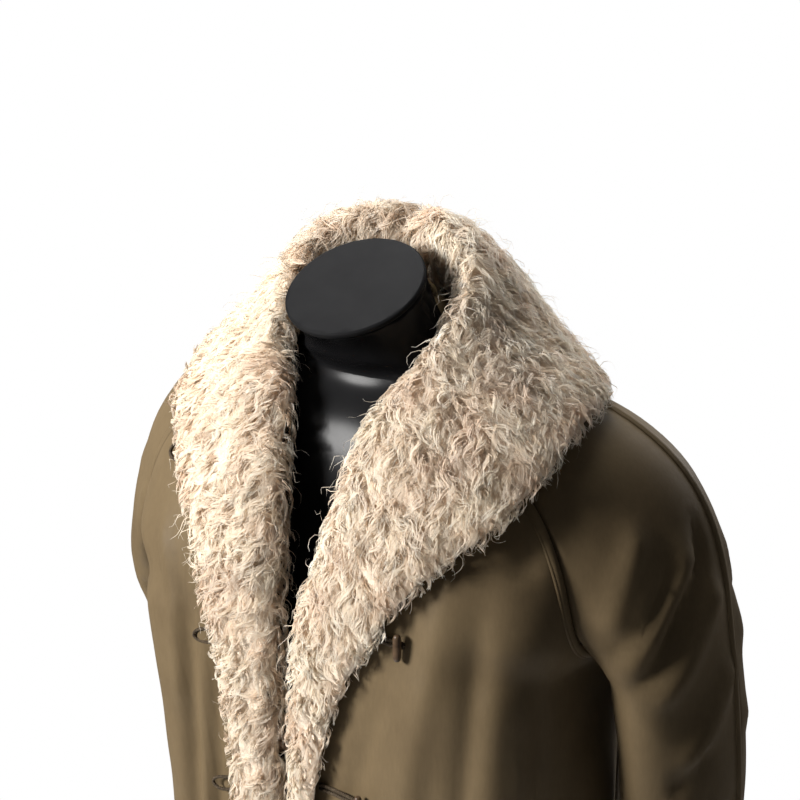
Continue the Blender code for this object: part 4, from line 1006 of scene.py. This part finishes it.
def locks(name, me, cloth, side, count, mat):
    """Locks of the pile: a few hairs that share a curl and draw together at the tip."""
    places, outs, deep = scatter(me, cloth, count)
    ways = flow(places, outs, side)
    turn = rng.normal(0.0, LOCK_STRAY, count)
    for most, waves in SWEEPS:
        turn += most * np.sin(places @ np.array(waves))
    ways = unit(turned(ways, outs, turn))
    size = lock_size(deep)
    long = (LOCK_L[0] + (LOCK_L[1] - LOCK_L[0]) * rng.random(count) ** LOCK_SHORTER) * size
    root = places - outs * (deep * PILE_SINK)[:, None] - ways * (long * LOCK_BACK)[:, None]
    lean = deep * vary(LOCK_LEAN, count)
    curl = vary(LOCK_CURL, count)
    turns = long / vary(LOCK_TURN, count)
    phase = rng.random(count) * math.tau
    shade = rng.random(count)
    each = np.repeat(np.arange(count), HAIRS)
    total = len(each)
    off = rng.normal(0.0, 0.5, (total, 3)) * LOCK_SPREAD * size[each][:, None]
    off -= outs[each] * (off * outs[each]).sum(axis=1, keepdims=True)
    lead = unit(ways[each] * long[each][:, None] - off * LOCK_CLOSE)
    return ribbons(name, root[each] + off, lead, outs[each],
                   lengths=long[each] * vary(HAIR_SIZE, total),
                   widths=LOCK_W * vary(HAIR_BREADTH, total),
                   curl=curl[each] * vary(HAIR_SIZE, total),
                   turns=turns[each],
                   phase=phase[each] + rng.normal(0.0, HAIR_PHASE, total),
                   lean=lean[each],
                   shade=np.clip(shade[each] + rng.normal(0.0, HAIR_TONE, total), 0.0, 1.0), mat=mat)


def wisps(name, me, cloth, side, mat):
    """Long thin stray hairs that stand out of the pile."""
    places, outs, deep = scatter(me, cloth, WISPS)
    ways = flow(places, outs, side)
    ways = unit(turned(ways, outs, rng.normal(0.0, WISP_STRAY, WISPS)) + outs * WISP_OUT)
    long = (WISP_L[0] + (WISP_L[1] - WISP_L[0]) * rng.random(WISPS)) * lock_size(deep)
    root = places - outs * (deep * WISP_SINK)[:, None] - ways * (long * WISP_BACK)[:, None]
    return ribbons(name, root, ways, outs,
                   lengths=long,
                   widths=np.full(WISPS, WISP_W),
                   curl=vary(WISP_CURL, WISPS),
                   turns=long / WISP_TURN,
                   phase=rng.random(WISPS) * math.tau,
                   lean=deep * vary(WISP_LEAN, WISPS),
                   shade=vary(WISP_TONE, WISPS), mat=mat)


def pelt(name, side, cloth, felt, hair):
    """One half of the pelt: its backing, and locks and stray hairs grown from the solid's face."""
    node = "fur_collar_" + name
    bm = welded(node)
    face = bpy.data.meshes.new("pelt_face_" + name)
    bm.to_mesh(face)
    bm.free()
    base = pelt_base(node, node + "_felt", cloth, felt)
    grown = [locks(f"locks_{name}_{part}", face, cloth, side, LOCKS // 2, hair) for part in ("a", "b")]
    grown.append(wisps(f"wisps_{name}", face, cloth, side, hair))
    bpy.data.meshes.remove(face)
    return base, grown


# -------- hard pieces
def stand():
    """The dress form with its cap, pole and foot."""
    gloss = polished("form_gloss", (0.0065, 0.0065, 0.0070), (0.0085, 0.0085, 0.0090), (0.18, 0.23),
                     grain=9.0, shine=0.05)
    matt = polished("form_cap", (0.008, 0.008, 0.0085), (0.011, 0.011, 0.0115), (0.55, 0.65),
                    grain=30.0, shine=0.04)
    steel = polished("form_metal", (0.38, 0.38, 0.39), (0.46, 0.46, 0.47), (0.26, 0.36),
                     grain=40.0, metal=1.0)
    return {node: rounded(node, node + "_shape", mat, levels, SHARP_FORM)
            for node, mat, levels in (("dress_form", gloss, 2), ("form_neck_cap", matt, 2),
                                      ("form_pole", steel, 2), ("form_foot", steel, 1))}


def fastenings():
    """Loops, and toggles on their cords."""
    cord = braid("loop_braid")
    horn = polished("toggle_horn", (0.040, 0.024, 0.014), (0.120, 0.075, 0.043), (0.25, 0.40), grain=60.0)
    made = {}
    for i in range(1, LOOPS + 1):
        node = f"loop_right_{i}"
        made[node] = rounded(node, f"loop_{i}_braid", cord, 2, SHARP_CORD, CORD_SWELL)
    for i in range(1, TOGGLES + 1):
        node = f"toggle_cord_left_{i}"
        made[node] = rounded(node, f"toggle_cord_{i}_braid", cord, 2, SHARP_CORD, CORD_SWELL)
        node = f"toggle_left_{i}"
        made[node] = rounded(node, f"toggle_{i}_horn", horn, 2, SHARP_CORD)
    return made


# -------- floor, light and camera
def disc(name, radius, mat):
    """Round pale floor under the stand."""
    turns = [math.tau * k / FLOOR_SIDES for k in range(FLOOR_SIDES)]
    ring = [(radius * math.cos(a), radius * math.sin(a), 0.0) for a in turns]
    new_object(name, ring, [tuple(range(FLOOR_SIDES))], mat)


def surround(name, radius):
    """Evenly bright white all round, which is seen but sheds no light on the object."""
    m = Nodes(name)
    m.set(Base_Color=(0.0, 0.0, 0.0, 1.0), Specular_IOR_Level=0.0,
          Emission_Color=(*WHITE, 1.0), Emission_Strength=1.0)
    bm = bmesh.new()
    bmesh.ops.create_icosphere(bm, subdivisions=4, radius=radius)
    ob = object_from(bm, name, m.mat)
    ob.visible_diffuse = False
    ob.visible_glossy = False
    ob.visible_transmission = False
    ob.visible_shadow = False


def aimed(ob, at, aim):
    ob.location = at
    ob.rotation_euler = (Vector(aim) - Vector(at)).to_track_quat("-Z", "Y").to_euler()


def area_light(name, at, aim, size, power, colour):
    data = bpy.data.lights.new(name, "AREA")
    data.shape = "DISK"
    data.size = size
    data.energy = power
    data.color = colour
    aimed(linked(name, data), at, aim)


def world_light(strength):
    world = bpy.data.worlds.new("studio")
    world.use_nodes = True
    background = world.node_tree.nodes["Background"]
    background.inputs["Color"].default_value = (*WHITE, 1.0)
    background.inputs["Strength"].default_value = strength
    bpy.context.scene.world = world


def photo_camera():
    data = bpy.data.cameras.new("camera")
    data.lens = LENS
    data.sensor_width = SENSOR
    data.clip_end = CLIP_END
    view = linked("camera", data)
    aimed(view, CAMERA_AT, CAMERA_AIM)
    bpy.context.scene.camera = view


# -------- build
for old in [o for o in bpy.data.objects if o.type in {"LIGHT", "CAMERA"}]:
    bpy.data.objects.remove(old, do_unlink=True)

coat_mat = twill("coat_twill", (0.104, 0.073, 0.039), (0.130, 0.093, 0.050), (0.152, 0.110, 0.061))
thread_mat = twill("coat_thread", (0.116, 0.083, 0.046), (0.147, 0.107, 0.060), (0.175, 0.129, 0.075))
hair_mat = pile_hair("pile_locks")
felt_mat = pile_base("pile_felt")

extras = {name: [] for name in CUTS}
shapes = folded_sheets(coat_mat)
sew(shapes, extras, coat_mat, thread_mat)
for ob in shapes.values():
    thick(ob)
under_pelt = tree_of_solids(("undercollar", "coat_front_left", "coat_front_right"))
for name, side in (("left", 1.0), ("right", -1.0)):
    node = "fur_collar_" + name
    shapes[node], extras[node] = pelt(name, side, under_pelt, felt_mat, hair_mat)
shapes.update(stand())
shapes.update(fastenings())

for node, ob in shapes.items():
    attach(ob, "root")
    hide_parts(node)
    for extra in extras.get(node, []):
        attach(extra, "root")

disc("pale_floor", FLOOR_R, pale("pale_floor"))
surround("pale_surround", SURROUND_R)
for light in LIGHTS:
    area_light(*light)
world_light(WORLD_LIGHT)
photo_camera()
bpy.context.scene.view_settings.view_transform = "Standard"
